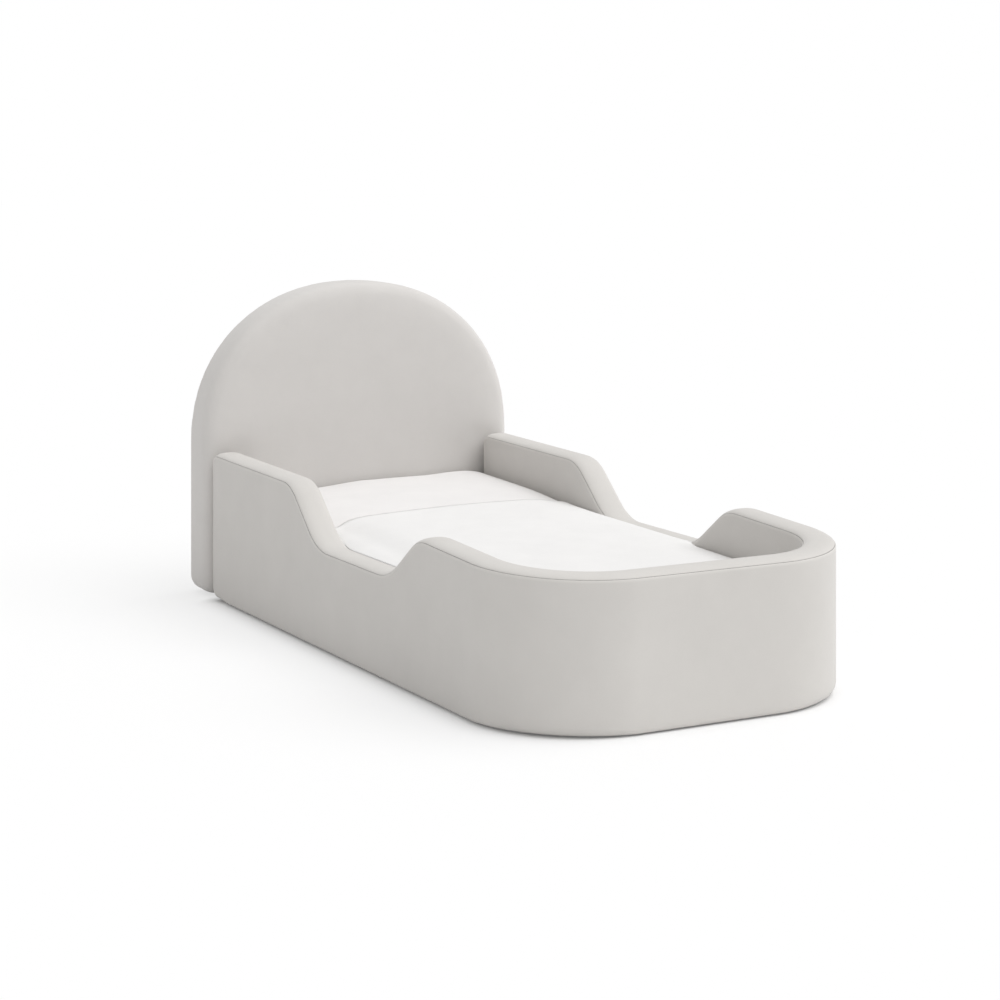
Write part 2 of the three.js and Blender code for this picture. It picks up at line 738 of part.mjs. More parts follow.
const pieces = {
  ...headboardPieces(),
  headboard_left_glide: [glide(-postX, headGlideY), plastic],
  headboard_right_glide: [glide(postX, headGlideY), plastic],
  outer_cover: [coverPanel(0, floorGap), greyFabric],
  inner_cover: [coverPanel(innerCoverDepth, innerCoverBottom), greyFabric],
  top_band: [topBand(), greyFabric],
  top_pad: [topPad(), foam],
  left_outer_foam: [leftOuterFoam, foam],
  right_outer_foam: [mirrorX(leftOuterFoam), foam],
  foot_outer_foam: [footLayer(outerFoamDepth, boardDepth - seat, boardBottom), foam],
  left_inner_foam: [leftInnerFoam, foam],
  right_inner_foam: [mirrorX(leftInnerFoam), foam],
  foot_inner_foam: [footLayer(innerFoamDepth, innerCoverDepth - seat, innerCoverBottom), foam],
  left_side_board: [leftBoard, plywood],
  right_side_board: [mirrorX(leftBoard), plywood],
  foot_board: [footLayer(boardDepth, boardInnerDepth, boardBottom), plywood],
  left_splice_plate: [leftPlate, plywood],
  right_splice_plate: [mirrorX(leftPlate), plywood],
  left_head_glide: [glide(-railGlideX, yAt(headGlideSetback)), plastic],
  right_head_glide: [glide(railGlideX, yAt(headGlideSetback)), plastic],
  left_middle_glide: [glide(-railGlideX, yAt(middleGlideSetback)), plastic],
  right_middle_glide: [glide(railGlideX, yAt(middleGlideSetback)), plastic],
  left_foot_glide: [glide(-footGlideOffset, footGlideY), plastic],
  right_foot_glide: [glide(footGlideOffset, footGlideY), plastic],
  left_cleat: [leftCleat, pine],
  right_cleat: [mirrorX(leftCleat), pine],
  foot_cleat: [footCleat(), pine],
  left_slat_strap: [strap(-strapOffset), webbing],
  right_slat_strap: [strap(strapOffset), webbing],
  left_bracket: [leftBracket, steel],
  right_bracket: [mirrorX(leftBracket), steel],
  left_lower_bolt: [bolt(-postX, lowerBolt), steel],
  left_upper_bolt: [bolt(-postX, upperBolt), steel],
  right_lower_bolt: [bolt(postX, lowerBolt), steel],
  right_upper_bolt: [bolt(postX, upperBolt), steel],
  ...beddingPieces(),
};
for (let i = 0; i < slatCount; i += 1) {
  pieces[`slat_${String(i + 1).padStart(2, '0')}`] = [slat(i), pine];
}

const bed = new THREE.Group();
for (const [name, [geometry, material]] of Object.entries(pieces)) {
  const mesh = new THREE.Mesh(geometry, material);
  mesh.name = name;
  bed.add(mesh);
}

export default bed;
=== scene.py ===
# %% [markdown]
# # Toddler bed with an arched headboard and a padded surround
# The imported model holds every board, slat and bolt of the bed in its true place. This script keeps
# those, gives each one its finish, and makes the soft parts again as real upholstery: the covers of
# the surround, the padded headboard, the mattress and the blanket.

import json
from math import ceil, cos, hypot, pi, radians, sin, tan

import bmesh
import bpy
from mathutils import Matrix, Vector, noise
from mathutils.bvhtree import BVHTree


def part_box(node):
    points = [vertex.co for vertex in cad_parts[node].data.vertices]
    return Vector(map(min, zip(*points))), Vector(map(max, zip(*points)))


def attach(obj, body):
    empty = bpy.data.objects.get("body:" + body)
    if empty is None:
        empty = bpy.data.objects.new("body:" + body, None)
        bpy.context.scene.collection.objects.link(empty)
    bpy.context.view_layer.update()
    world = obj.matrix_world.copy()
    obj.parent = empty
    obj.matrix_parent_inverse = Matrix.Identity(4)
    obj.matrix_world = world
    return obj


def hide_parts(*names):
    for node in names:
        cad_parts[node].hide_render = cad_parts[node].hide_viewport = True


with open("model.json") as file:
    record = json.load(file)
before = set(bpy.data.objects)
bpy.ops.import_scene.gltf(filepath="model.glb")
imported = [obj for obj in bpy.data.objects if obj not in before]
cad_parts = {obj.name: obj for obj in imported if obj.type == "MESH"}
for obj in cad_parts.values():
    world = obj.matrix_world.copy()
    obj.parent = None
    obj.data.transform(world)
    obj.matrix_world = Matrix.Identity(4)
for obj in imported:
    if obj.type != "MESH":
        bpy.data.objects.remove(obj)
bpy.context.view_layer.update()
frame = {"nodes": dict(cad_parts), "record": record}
scene = bpy.context.scene
scene.view_settings.view_transform = "Standard"
print("frame loaded:", len(frame["nodes"]), "nodes")

# %% [markdown]
# ## Camera
# Furniture is often shown with upright lines kept upright. The camera stays level and its lens is
# shifted down instead of tilted, which is how an architect's camera works. A long lens, from more
# than five metres away, keeps the bed's far end from shrinking too much.

# %% Camera
lens = bpy.data.cameras.new("camera")
lens.lens = 84.62
lens.sensor_width = 36
lens.shift_x = -0.006
lens.shift_y = -0.3768
camera = bpy.data.objects.new("camera", lens)
camera.location = (-2.6603, -4.9167, 1.2274)
camera.rotation_euler = (radians(90), 0, radians(-28.517))
scene.collection.objects.link(camera)
scene.camera = camera
print("camera at", tuple(round(v, 2) for v in camera.location))

# %% [markdown]
# ## Light and floor
# One broad lamp stands high to the front and to the bed's right, and the white room gives the rest
# back from all sides. A sun lamp with a wide disc has no fall-off, so both ends of the bed are lit
# alike, and its shadows are soft. The floor and the room look white to the camera, through Light
# Path, so the lamps can stay at a plain level. The floor keeps the bed's shadow: all of its own
# shading close under the bed, a share of it round about, and none far away, where a studio floor
# runs into the white wall.

# %% Helpers for nodes and pieces
def put(tree, kind, inputs=None, **settings):
    """Adds a node, with its settings and the values of its inputs."""
    node = tree.nodes.new("ShaderNode" + kind)
    for name, value in settings.items():
        setattr(node, name, value)
    for name, value in (inputs or {}).items():
        if isinstance(value, bpy.types.NodeSocket):
            tree.links.new(value, node.inputs[name])
        else:
            node.inputs[name].default_value = value
    return node


def reckon(tree, operation, *values, clamp=False):
    """A Math node's result."""
    return put(tree, "Math", dict(enumerate(values)), operation=operation, use_clamp=clamp).outputs[0]


def tone(red, green, blue):
    """A colour written as it is seen on screen, 0 to 255, as the light that it stands for."""
    def light(value):
        share = value / 255
        return share / 12.92 if share <= 0.04045 else ((share + 0.055) / 1.055) ** 2.4
    return (light(red), light(green), light(blue), 1)


def direct_view(tree):
    """1 where the camera sees the surface itself, or through a mirror or glass."""
    path = put(tree, "LightPath")
    mirrored = reckon(tree, "MAXIMUM", path.outputs["Is Glossy Ray"], path.outputs["Is Transmission Ray"])
    return reckon(tree, "MAXIMUM", path.outputs["Is Camera Ray"], mirrored)


def fade(tree, value, start, finish, before, after, **settings):
    """Runs from before to after while the value passes from start to finish."""
    return put(tree, "MapRange", {0: value, 1: start, 2: finish, 3: before, 4: after}, **settings).outputs[0]


def new_material(name):
    """A material, its node tree and its shader."""
    material = bpy.data.materials.new(name)
    material.use_nodes = True
    return material, material.node_tree, material.node_tree.nodes["Principled BSDF"]


def make_piece(bm, name, material=None):
    """An object in the scene, made from an edit mesh, which is freed."""
    mesh = bpy.data.meshes.new(name)
    bm.to_mesh(mesh)
    bm.free()
    if material:
        mesh.materials.append(material)
    piece = bpy.data.objects.new(name, mesh)
    scene.collection.objects.link(piece)
    return piece


print("helpers ready")

# %% Room, lamp and floor
ROOM_LIGHT = 0.63
LAMP_STRENGTH = 1.80
LAMP_FROM = Vector((0.45, -0.295, 0.843))
LAMP_WIDTH = radians(60)
FLOOR_SHADE = 0.35
FLOOR_CONTACT = 0.085
FLOOR_FADE = (1.2, 3.0)
CONTACT_SHADE = 0.92
CONTACT_FALL = 2.4
RAILS_END = (0.74, 0.80)
HEADBOARD_SHARE = 0.4
PLAN_HALF, PLAN_FOOT, PLAN_CORNER = 0.431, 0.9114, 0.255


def distance_from_bed(tree):
    """How far a place on the floor is from the bed's outline in plan, which has two round corners."""
    axes = put(tree, "SeparateXYZ", {0: put(tree, "TexCoord").outputs["Object"]})
    side = reckon(tree, "SUBTRACT", reckon(tree, "ABSOLUTE", axes.outputs[0]), PLAN_HALF - PLAN_CORNER)
    end = reckon(tree, "SUBTRACT", reckon(tree, "MULTIPLY", axes.outputs[1], -1.0), PLAN_FOOT - PLAN_CORNER)
    beside = reckon(tree, "MAXIMUM", side, 0.0)
    beyond = reckon(tree, "MAXIMUM", end, 0.0)
    squares = [reckon(tree, "MULTIPLY", gap, gap) for gap in (beside, beyond)]
    from_centre = reckon(tree, "SQRT", reckon(tree, "ADD", *squares))
    round_foot = reckon(tree, "SUBTRACT", from_centre, PLAN_CORNER)
    return reckon(tree, "MAXIMUM", round_foot, reckon(tree, "SUBTRACT", axes.outputs[1], PLAN_FOOT))


room = bpy.data.worlds.new("studio")
room.use_nodes = True
scene.world = room
tree = room.node_tree
backdrop = put(tree, "Background", {"Color": (1, 1, 1, 1), "Strength": 1.0})
fill = put(tree, "Background", {"Color": (1, 1, 1, 1), "Strength": ROOM_LIGHT})
either = put(tree, "MixShader", {0: direct_view(tree), 1: fill.outputs[0], 2: backdrop.outputs[0]})
tree.links.new(either.outputs[0], tree.nodes["World Output"].inputs["Surface"])

sun = bpy.data.lights.new("softbox", "SUN")
sun.energy = LAMP_STRENGTH
sun.angle = LAMP_WIDTH
lamp = bpy.data.objects.new("softbox", sun)
lamp.rotation_euler = LAMP_FROM.to_track_quat("Z", "Y").to_euler()
scene.collection.objects.link(lamp)

white_floor, tree, paint = new_material("white_floor")
paint.inputs["Base Color"].default_value = (0.9, 0.9, 0.9, 1)
paint.inputs["Roughness"].default_value = 0.9
paint.inputs["Specular IOR Level"].default_value = 0.1
glow = put(tree, "Emission", {"Color": (1, 1, 1, 1), "Strength": 1.0})
away = distance_from_bed(tree)
near = fade(tree, away, 0.0, FLOOR_CONTACT, 1.0, 0.0)
falling = reckon(tree, "POWER", near, CONTACT_FALL)
contact = reckon(tree, "MULTIPLY_ADD", falling, CONTACT_SHADE - FLOOR_SHADE, FLOOR_SHADE)
at_head = put(tree, "SeparateXYZ", {0: put(tree, "TexCoord").outputs["Object"]})
by_rails = fade(tree, at_head.outputs[1], *RAILS_END, 1.0, HEADBOARD_SHARE, interpolation_type="SMOOTHSTEP")
around = fade(tree, away, *FLOOR_FADE, FLOOR_SHADE, 0.0, interpolation_type="SMOOTHSTEP")
close = reckon(tree, "MULTIPLY", contact, by_rails)
shaded = reckon(tree, "MAXIMUM", close, around)
share = reckon(tree, "MULTIPLY", direct_view(tree), reckon(tree, "SUBTRACT", 1.0, shaded))
mix = put(tree, "MixShader", {0: share, 1: paint.outputs[0], 2: glow.outputs[0]})
tree.links.new(mix.outputs[0], tree.nodes["Material Output"].inputs["Surface"])

bm = bmesh.new()
bmesh.ops.create_grid(bm, x_segments=1, y_segments=1, size=30)
floor = make_piece(bm, "floor", white_floor)
print("room, lamp and floor ready")

# %% [markdown]
# ## Fabrics
# Both fabrics are plain weaves. Warp and weft cross over and under in a checkerboard, and two sine
# waves multiplied together rise and fall in just that way, so they make the height for the bump. On
# the fitted covers the waves follow the cloth, through an attribute that says where on the flat
# cloth each point was. On the stuffed pieces they follow the three axes, each weighted by how the
# surface faces. Broad noise gives a faint unevenness of dye, and fine noise the nap of the fibres.
# On the fitted covers the colour also carries painted light: painted shade at the bottom of each seam and a painted
# highlight on the panel's lip beside it.

# %% Fabric
def plain_weave(tree, place, pitch):
    """Height of a plain weave, from -1 to 1, over a flat place in metres."""
    axes = put(tree, "SeparateXYZ", {0: place})
    waves = [reckon(tree, "SINE", reckon(tree, "MULTIPLY", axes.outputs[i], 2 * pi / pitch)) for i in (0, 1)]
    return reckon(tree, "MULTIPLY", *waves)


def plain_weave_around(tree, pitch):
    """The same height over a rounded form, from its object's three axes."""
    coordinates = put(tree, "TexCoord")
    axes = put(tree, "SeparateXYZ", {0: coordinates.outputs["Object"]})
    facing = put(tree, "SeparateXYZ", {0: coordinates.outputs["Normal"]})
    waves = [reckon(tree, "SINE", reckon(tree, "MULTIPLY", axes.outputs[i], 2 * pi / pitch)) for i in range(3)]
    total = 0.0
    for i in range(3):
        weight = reckon(tree, "MULTIPLY", facing.outputs[i], facing.outputs[i])
        across = reckon(tree, "MULTIPLY", waves[(i + 1) % 3], waves[(i + 2) % 3])
        total = reckon(tree, "MULTIPLY_ADD", across, weight, total)
    return total


def seam_place(tree):
    """The place along the seam, beside it, and the painted light there: above 0 painted shade at the seam's bottom,
    below 0 a painted highlight on the lip.
    """
    return put(tree, "SeparateXYZ", {0: put(tree, "Attribute", attribute_name="seam").outputs["Vector"]})


def stitch_dimples(tree, stitch=0.0045, reach=0.0035):
    """How far the thread pulls the cloth in beside a seam: 1 at each stitch hole, 0 away from it."""
    axes = seam_place(tree)
    wave = reckon(tree, "SINE", reckon(tree, "MULTIPLY", axes.outputs[0], 2 * pi / stitch))
    beat = reckon(tree, "MULTIPLY_ADD", wave, 0.5, 0.5)
    near = reckon(tree, "SUBTRACT", 1.0, reckon(tree, "DIVIDE", axes.outputs[1], reach), clamp=True)
    return reckon(tree, "MULTIPLY", beat, reckon(tree, "MULTIPLY", near, near))


def scaled(colour, factor):
    return [*(min(c * factor, 1) for c in colour[:3]), 1]


def two_tone(tree, share, spread, dark, pale):
    """Runs from dark to pale while the share passes through the spread."""
    ramp = put(tree, "ValToRGB", {0: share})
    for k, colour in enumerate((dark, pale)):
        ramp.color_ramp.elements[k].position = spread[k]
        ramp.color_ramp.elements[k].color = colour
    return ramp.outputs["Color"]


def add_finish(tree, shader, wear, rough, height, strength, relief):
    """Roughness that varies with the wear, and a bump."""
    tree.links.new(fade(tree, wear, 0.3, 0.7, *rough), shader.inputs["Roughness"])
    bump = put(tree, "Bump", {"Height": height, "Strength": strength, "Distance": relief})
    tree.links.new(bump.outputs[0], shader.inputs["Normal"])


def fabric(name, colour, pitch, relief, fitted, sheen):
    """A woven fabric. fitted is true where the cloth attribute says how the weave lies; on such covers the seam
    attribute also puts painted shade in the seams and a painted highlight on the lips.
    """
    material, tree, shader = new_material(name)
    place = put(tree, "TexCoord").outputs["Object"]
    if fitted:
        laid = put(tree, "Attribute", attribute_name="cloth")
        weave = plain_weave(tree, laid.outputs["Vector"], pitch)
    else:
        weave = plain_weave_around(tree, pitch)
    dye = put(tree, "TexNoise", {"Vector": place, "Scale": 9.0, "Detail": 4.0, "Roughness": 0.6})
    nap = put(tree, "TexNoise", {"Vector": place, "Scale": 420.0, "Detail": 3.0, "Roughness": 0.7})
    specks = reckon(tree, "MULTIPLY", nap.outputs["Fac"], 0.3)
    mottle = reckon(tree, "MULTIPLY_ADD", dye.outputs["Fac"], 0.5, specks)
    shade = reckon(tree, "MULTIPLY_ADD", weave, 0.06, mottle, clamp=True)
    tint = two_tone(tree, shade, (0.15, 0.65), scaled(colour, 0.955), scaled(colour, 1.04))
    height = reckon(tree, "MULTIPLY_ADD", nap.outputs["Fac"], 0.8, weave)
    if fitted:
        # Painted light at the seams: the bottom of each seam is painted darker, as its shade, and the panel's lip
        # beside it is painted paler, as a highlight.
        painted_light_weight = seam_place(tree).outputs[2]
        painted_seam_shade = fade(tree, painted_light_weight, 0.0, 1.0, 1.0, 0.45)
        painted_lip_highlight = fade(tree, painted_light_weight, -1.0, 0.0, 1.07, 1.0)
        painted_seam_light = reckon(tree, "MULTIPLY", painted_seam_shade, painted_lip_highlight)
        tint = put(tree, "VectorMath", {0: tint, "Scale": painted_seam_light}, operation="SCALE").outputs[0]
        height = reckon(tree, "MULTIPLY_ADD", stitch_dimples(tree), -5.0, height)
    tree.links.new(tint, shader.inputs["Base Color"])
    add_finish(tree, shader, nap.outputs["Fac"], (0.84, 0.97), height, 0.35, relief)
    shader.inputs["Specular IOR Level"].default_value = 0.2
    shader.inputs["Sheen Weight"].default_value = sheen
    shader.inputs["Sheen Roughness"].default_value = 0.5
    return material


GREY = tone(209, 206, 202)
WHITE = tone(234, 233, 232)
surround_fabric = fabric("surround_fabric", GREY, 0.0011, 0.00012, True, 0.22)
# The headboard's cover is the surround's grey made a little paler: painted light, for the brighter light that falls
# on the headboard.
headboard_fabric_painted_paler = fabric("headboard_fabric_painted_paler", tone(212, 209, 206), 0.0011, 0.00012, False, 0.22)
sheet_cotton = fabric("sheet_cotton", tone(233, 231, 230), 0.0006, 0.00006, False, 0.10)
blanket_cotton = fabric("blanket_cotton", WHITE, 0.0009, 0.00010, True, 0.10)
print("fabrics:", surround_fabric.name, headboard_fabric_painted_paler.name, sheet_cotton.name, blanket_cotton.name)

# %% [markdown]
# ## Wood, webbing, plastic and steel
# The boards, slats, straps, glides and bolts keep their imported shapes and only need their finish.
# Plywood shows its figured face veneer, pine its long grain with a few knots, and the webbing a
# coarse weave. The glides are pebbled black plastic, and the angles and bolts are zinc plated.

# %% Timber
def timber(name, pale, dark, stretch, rings, gloss):
    """Wood with its grain along one axis. stretch says how the figure is drawn out along the axes."""
    material, tree, shader = new_material(name)
    place = put(tree, "Mapping", {"Vector": put(tree, "TexCoord").outputs["Object"], "Scale": stretch})
    drift = put(tree, "TexNoise", {"Vector": place.outputs[0], "Scale": 1.6, "Detail": 3.0})
    figure = put(tree, "TexWave", {"Vector": place.outputs[0], "Scale": rings, "Distortion": 7.0,
                                   "Detail": 3.0, "Detail Scale": 1.4}, bands_direction="DIAGONAL")
    pores = put(tree, "TexNoise", {"Vector": place.outputs[0], "Scale": 26.0, "Detail": 5.0, "Roughness": 0.75})
    rings_share = reckon(tree, "MULTIPLY", figure.outputs["Fac"], 0.35)
    blend = reckon(tree, "MULTIPLY_ADD", drift.outputs["Fac"], 0.5, rings_share)
    shade = reckon(tree, "MULTIPLY_ADD", pores.outputs["Fac"], 0.3, blend, clamp=True)
    tree.links.new(two_tone(tree, shade, (0.25, 0.85), dark, pale), shader.inputs["Base Color"])
    add_finish(tree, shader, pores.outputs["Fac"], (gloss - 0.08, gloss + 0.08), shade, 0.3, 0.0004)
    return material


plywood = timber("birch_plywood", tone(224, 198, 158), tone(190, 155, 110), (9, 0.9, 2.2), 1.2, 0.62)
slat_pine = timber("slat_pine", tone(232, 205, 156), tone(198, 158, 104), (1.3, 16, 9), 1.6, 0.55)
frame_pine = timber("frame_pine", tone(230, 203, 156), tone(196, 157, 106), (12, 9, 1.3), 1.6, 0.58)
print("timber:", plywood.name, slat_pine.name, frame_pine.name)

# %% Webbing, plastic and steel
def grained(name, colour, scale, contrast, rough, relief, metal=0.0, stretch=(1, 1, 1)):
    """A fine irregular surface: moulded pebbling, plating, cut foam or coarse yarn."""
    material, tree, shader = new_material(name)
    place = put(tree, "Mapping", {"Vector": put(tree, "TexCoord").outputs["Object"], "Scale": stretch})
    cells = put(tree, "TexVoronoi", {"Vector": place.outputs[0], "Scale": scale})
    cloud = put(tree, "TexNoise", {"Vector": place.outputs[0], "Scale": scale / 9, "Detail": 4.0})
    drift = reckon(tree, "MULTIPLY", cloud.outputs["Fac"], 0.6)
    grit = reckon(tree, "MULTIPLY_ADD", cells.outputs["Distance"], 0.6, drift)
    colours = two_tone(tree, grit, (0.2, 0.8), scaled(colour, 1 - contrast), scaled(colour, 1 + contrast))
    tree.links.new(colours, shader.inputs["Base Color"])
    add_finish(tree, shader, cloud.outputs["Fac"], (rough - 0.07, rough + 0.07), grit, 0.4, relief)
    shader.inputs["Metallic"].default_value = metal
    return material


finishes = {
    "foam": grained("cut_foam", tone(233, 226, 201), 700, 0.06, 0.92, 0.0004),
    "plywood": plywood,
    "pine": frame_pine,
    "webbing": grained("strap_webbing", tone(226, 223, 214), 620, 0.12, 0.85, 0.0004, stretch=(1, 0.35, 1)),
    "plastic": grained("black_nylon", tone(44, 44, 45), 900, 0.15, 0.5, 0.0001),
    "steel": grained("zinc_plate", tone(196, 198, 200), 160, 0.08, 0.36, 0.00005, metal=1.0),
    "grey_fabric": surround_fabric,
    "white_fabric": sheet_cotton,
}
for part in frame["record"]["subparts"]:
    node = frame["nodes"][part["node"]]
    material = slat_pine if part["node"].startswith("slat") else finishes[part["material_slot"]]
    node.data.materials.clear()
    node.data.materials.append(material)

# %% [markdown]
# ## The line of the surround
# Everything on the surround follows one line: the seam along its outer top edge. Seen from the side
# it starts under the rail's back end, climbs it, runs along the rail, dips to the entry, rises again
# and runs round the foot. The line is measured out once as close stations, and each station knows the
# way into the wall and the way up out of the seam, so that any piece can be laid along it.

# %% Stations along the seam
outer_low, outer_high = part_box("outer_cover")
HALF_WIDTH = outer_high[0]
FOOT_FACE = outer_low[1]
HEAD_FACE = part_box("headboard_front_cover")[0][1]
WALL = HALF_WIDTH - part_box("inner_cover")[1][0]
LENGTH = HEAD_FACE - FOOT_FACE
CORNER = 0.255
RAIL_BACK = 0.0083
BAND_CROWN = 0.008
FLOOR_GAP = 0.003
END_RADIUS = 0.024
HEAD_RAIL, HEAD_RAIL_FALL, HEAD_RAIL_LENGTH = 0.3715, 0.0065, 0.508
ENTRY_HEIGHT, ENTRY_START, ENTRY_END = 0.231, 0.664, 1.046
FOOT_RAIL, FOOT_RAIL_FALL, FOOT_RAIL_START = 0.338, 0.020, 1.194
CREST, VALLEY = 0.118, 0.170
STEP = 0.007
END_STEPS = 7
CLIMB_STEPS = 18


class Station:
    """A place on the seam: its point, the way into the wall, and the way up out of the seam."""

    def __init__(self, x, t, z, inward, up):
        self.point = Vector((x, HEAD_FACE - t, z))
        self.inward = Vector(inward).normalized()
        self.up = Vector(up).normalized()
        self.run = 0.0

    def at(self, depth, height):
        return self.point + self.inward * depth + self.up * height


def on_side(t, z, up_t, up_z):
    return Station(-HALF_WIDTH, t, z, (1, 0, 0), (0, -up_t, up_z))


def foot_height(t):
    return FOOT_RAIL - FOOT_RAIL_FALL * (t - FOOT_RAIL_START) / (LENGTH - FOOT_RAIL_START)


def end_arc(centre_z, start, finish):
    """Stations round a corner of the rail's back end, by angle in the side view."""
    middle = RAIL_BACK + END_RADIUS
    angles = [start + (finish - start) * k / END_STEPS for k in range(END_STEPS + 1)]
    return [on_side(middle + END_RADIUS * cos(a), centre_z + END_RADIUS * sin(a), cos(a), sin(a))
            for a in angles]


def along(start, finish, first=1):
    """Stations on a straight stretch of the side view."""
    (t0, z0), (t1, z1) = start, finish
    steps = max(1, ceil(hypot(t1 - t0, z1 - z0) / STEP))
    share = [k / steps for k in range(first, steps + 1)]
    return [on_side(t0 + s * (t1 - t0), z0 + s * (z1 - z0), z0 - z1, t1 - t0) for s in share]


def round_corner(before, corner, after, radius):
    """Start and end of the rounding of a corner in the side view, and the stations on it."""
    middle = Vector(corner)
    back = (Vector(before) - middle).normalized()
    ahead = (Vector(after) - middle).normalized()
    reach = radius * tan((pi - back.angle(ahead)) / 2)
    start, finish = middle + back * reach, middle + ahead * reach
    steps = max(6, ceil(2 * reach / STEP))
    stations = []
    for k in range(1, steps + 1):
        s = k / steps
        point = start * (1 - s) ** 2 + middle * 2 * s * (1 - s) + finish * s ** 2
        tangent = (middle - start) * (1 - s) + (finish - middle) * s
        stations.append(on_side(point.x, point.y, -tangent.y, tangent.x))
    return start, finish, stations


head_start_z = HEAD_RAIL - HEAD_RAIL_FALL * END_RADIUS / HEAD_RAIL_LENGTH
low_centre = FLOOR_GAP + BAND_CROWN + END_RADIUS
high_centre = head_start_z - END_RADIUS
low_arc = end_arc(low_centre, -pi / 2, -pi)
high_arc = end_arc(high_centre, pi, pi / 2)
climb = [on_side(RAIL_BACK, low_centre + k / CLIMB_STEPS * (high_centre - low_centre), -1, 0)
         for k in range(CLIMB_STEPS + 1)]

corners = [
    (RAIL_BACK + END_RADIUS, head_start_z, 0),
    (HEAD_RAIL_LENGTH, HEAD_RAIL - HEAD_RAIL_FALL, CREST),
    (ENTRY_START, ENTRY_HEIGHT, VALLEY),
    (ENTRY_END, ENTRY_HEIGHT, VALLEY),
    (FOOT_RAIL_START, FOOT_RAIL, CREST),
    (LENGTH - CORNER, foot_height(LENGTH - CORNER), 0),
]
top_line = list(high_arc)
reached = corners[0][:2]
for before, corner, after in zip(corners, corners[1:], corners[2:]):
    start, finish, bend = round_corner(before[:2], corner[:2], after[:2], corner[2])
    top_line += along(reached, start) + bend
    reached = finish
top_line += along(reached, corners[-1][:2])
turns = ceil(CORNER * pi / 2 / STEP)
for k in range(1, turns + 1):
    angle = k / turns * pi / 2
    inward = (cos(angle), sin(angle), 0)
    t = LENGTH - CORNER + CORNER * sin(angle)
    top_line.append(Station(CORNER - HALF_WIDTH - CORNER * cos(angle), t, foot_height(t), inward, (0, 0, 1)))
foot_steps = ceil((HALF_WIDTH - CORNER) / STEP)
for k in range(1, foot_steps + 1):
    x = (CORNER - HALF_WIDTH) * (1 - k / foot_steps)
    top_line.append(Station(x, LENGTH, foot_height(LENGTH), (0, 1, 0), (0, 0, 1)))

for line in (low_arc, climb, top_line):
    for before, station in zip(line, line[1:]):
        station.run = before.run + (station.point - before.point).length
print("seam stations on each side:", len(top_line), "length", round(top_line[-1].run, 3), "m")

# %% [markdown]
# ## Covers of the surround
# The surround is covered in three lengths of cloth: a panel outside, a panel inside, and a gusset
# band over the top between them. Each edge dips into the seam with a small soft lip. A flat grid is
# laid out for each length and every corner of it is placed from the stations, which is what a
# cutting pattern does. One half is made, then mirrored across the middle of the foot, and a Solidify
# modifier gives the cloth its thickness on the inside.

# %% Laying cloth along the stations
MM = 0.001
LIP = 0.009
PANEL_LIP = [(3.6, -3.6), (1.95, -2.05), (1.35, -1.75), (0.8, -2.2), (0.35, -3.6), (0.1, -5.8), (0, -9)]
BAND_LIP = [(3.6, -3.6), (2.35, -1.65), (2.2, -0.9), (2.6, -0.1), (3.6, 0.9), (5.4, 2.2), (8, 3.6)]
# How much painted light each point of a lip takes: above 0 painted shade at the seam's bottom, below 0 a painted
# highlight on the panel's lip.
LIP_PAINTED_LIGHT = [1, 0.8, -0.4, -1, -1, -0.7, 0]
BAND_PAINTED_SHADE = [1, 0.8, 0]
CLOTH_THICKNESS = 0.0012


def lay_cloth(bm, columns, rows, place):
    """A flat grid of cloth. place(i, j) gives each corner's point, and its place on the flat cloth and
    along and beside the seam."""
    cloth = bm.verts.layers.float_vector["cloth"]
    seam = bm.verts.layers.float_vector["seam"]
    grid = bmesh.ops.create_grid(bm, x_segments=columns, y_segments=rows, size=0.5)
    for corner in grid["verts"]:
        i = round((corner.co.x + 0.5) * columns)
        j = round((corner.co.y + 0.5) * rows)
        corner.co, corner[cloth], corner[seam] = place(i, j)


def new_cloth():
    bm = bmesh.new()
    bm.verts.layers.float_vector.new("cloth")
    bm.verts.layers.float_vector.new("seam")
    return bm


def sewn(bm, name, material, body, near, towards, thickness=CLOTH_THICKNESS, mirror=True):
    """Joins the lengths of cloth, mirrors them, turns the right side out, and gives them thickness."""
    bmesh.ops.remove_doubles(bm, verts=bm.verts, dist=1e-5)
    if mirror:
        bmesh.ops.mirror(bm, geom=bm.verts[:] + bm.edges[:] + bm.faces[:], axis="X", merge_dist=1e-5)
    bmesh.ops.recalc_face_normals(bm, faces=bm.faces)
    closest = min(bm.faces, key=lambda face: (face.calc_center_median() - near).length)
    if closest.normal.dot(towards) < 0:
        bmesh.ops.reverse_faces(bm, faces=bm.faces)
    piece = make_piece(bm, name, material)
    piece.data.shade_smooth()
    if thickness:
        wall = piece.modifiers.new("cloth_thickness", "SOLIDIFY")
        wall.thickness = thickness
        wall.offset = -1
    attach(piece, body)
    print(name, len(piece.data.polygons), "faces")
    return piece


def ease(share):
    """A soft change from 0 to 1."""
    share = min(max(share, 0), 1)
    return share * share * (3 - 2 * share)


print("cloth is", CLOTH_THICKNESS * 1000, "mm thick")

# %% [markdown]
# The outer panel has a lip all along its top edge and down its back end, and along the floor it
# rolls under and is turned in beneath the rail.

# %% Outer panel
ROLL = [(0, 10), (0.76, 6.2), (2.9, 2.9), (6.2, 0.8), (10, 0.1), (19, 0.4), (26, 1.2)]
PANEL_ROWS = CLIMB_STEPS
HEM_EASE = 0.07


def lip_cloth(station, k, side):
    """The k-th corner of a panel's lip. side turns depth for the inner panel."""
    d, h = PANEL_LIP[k]
    return station.at(side(d * MM), h * MM)


def outside(depth):
    return depth


def roll_size(station):
    """The panel rolls under with a larger radius round the foot's two corners."""
    return 1 + 1.3 * abs(2 * station.inward.x * station.inward.y)


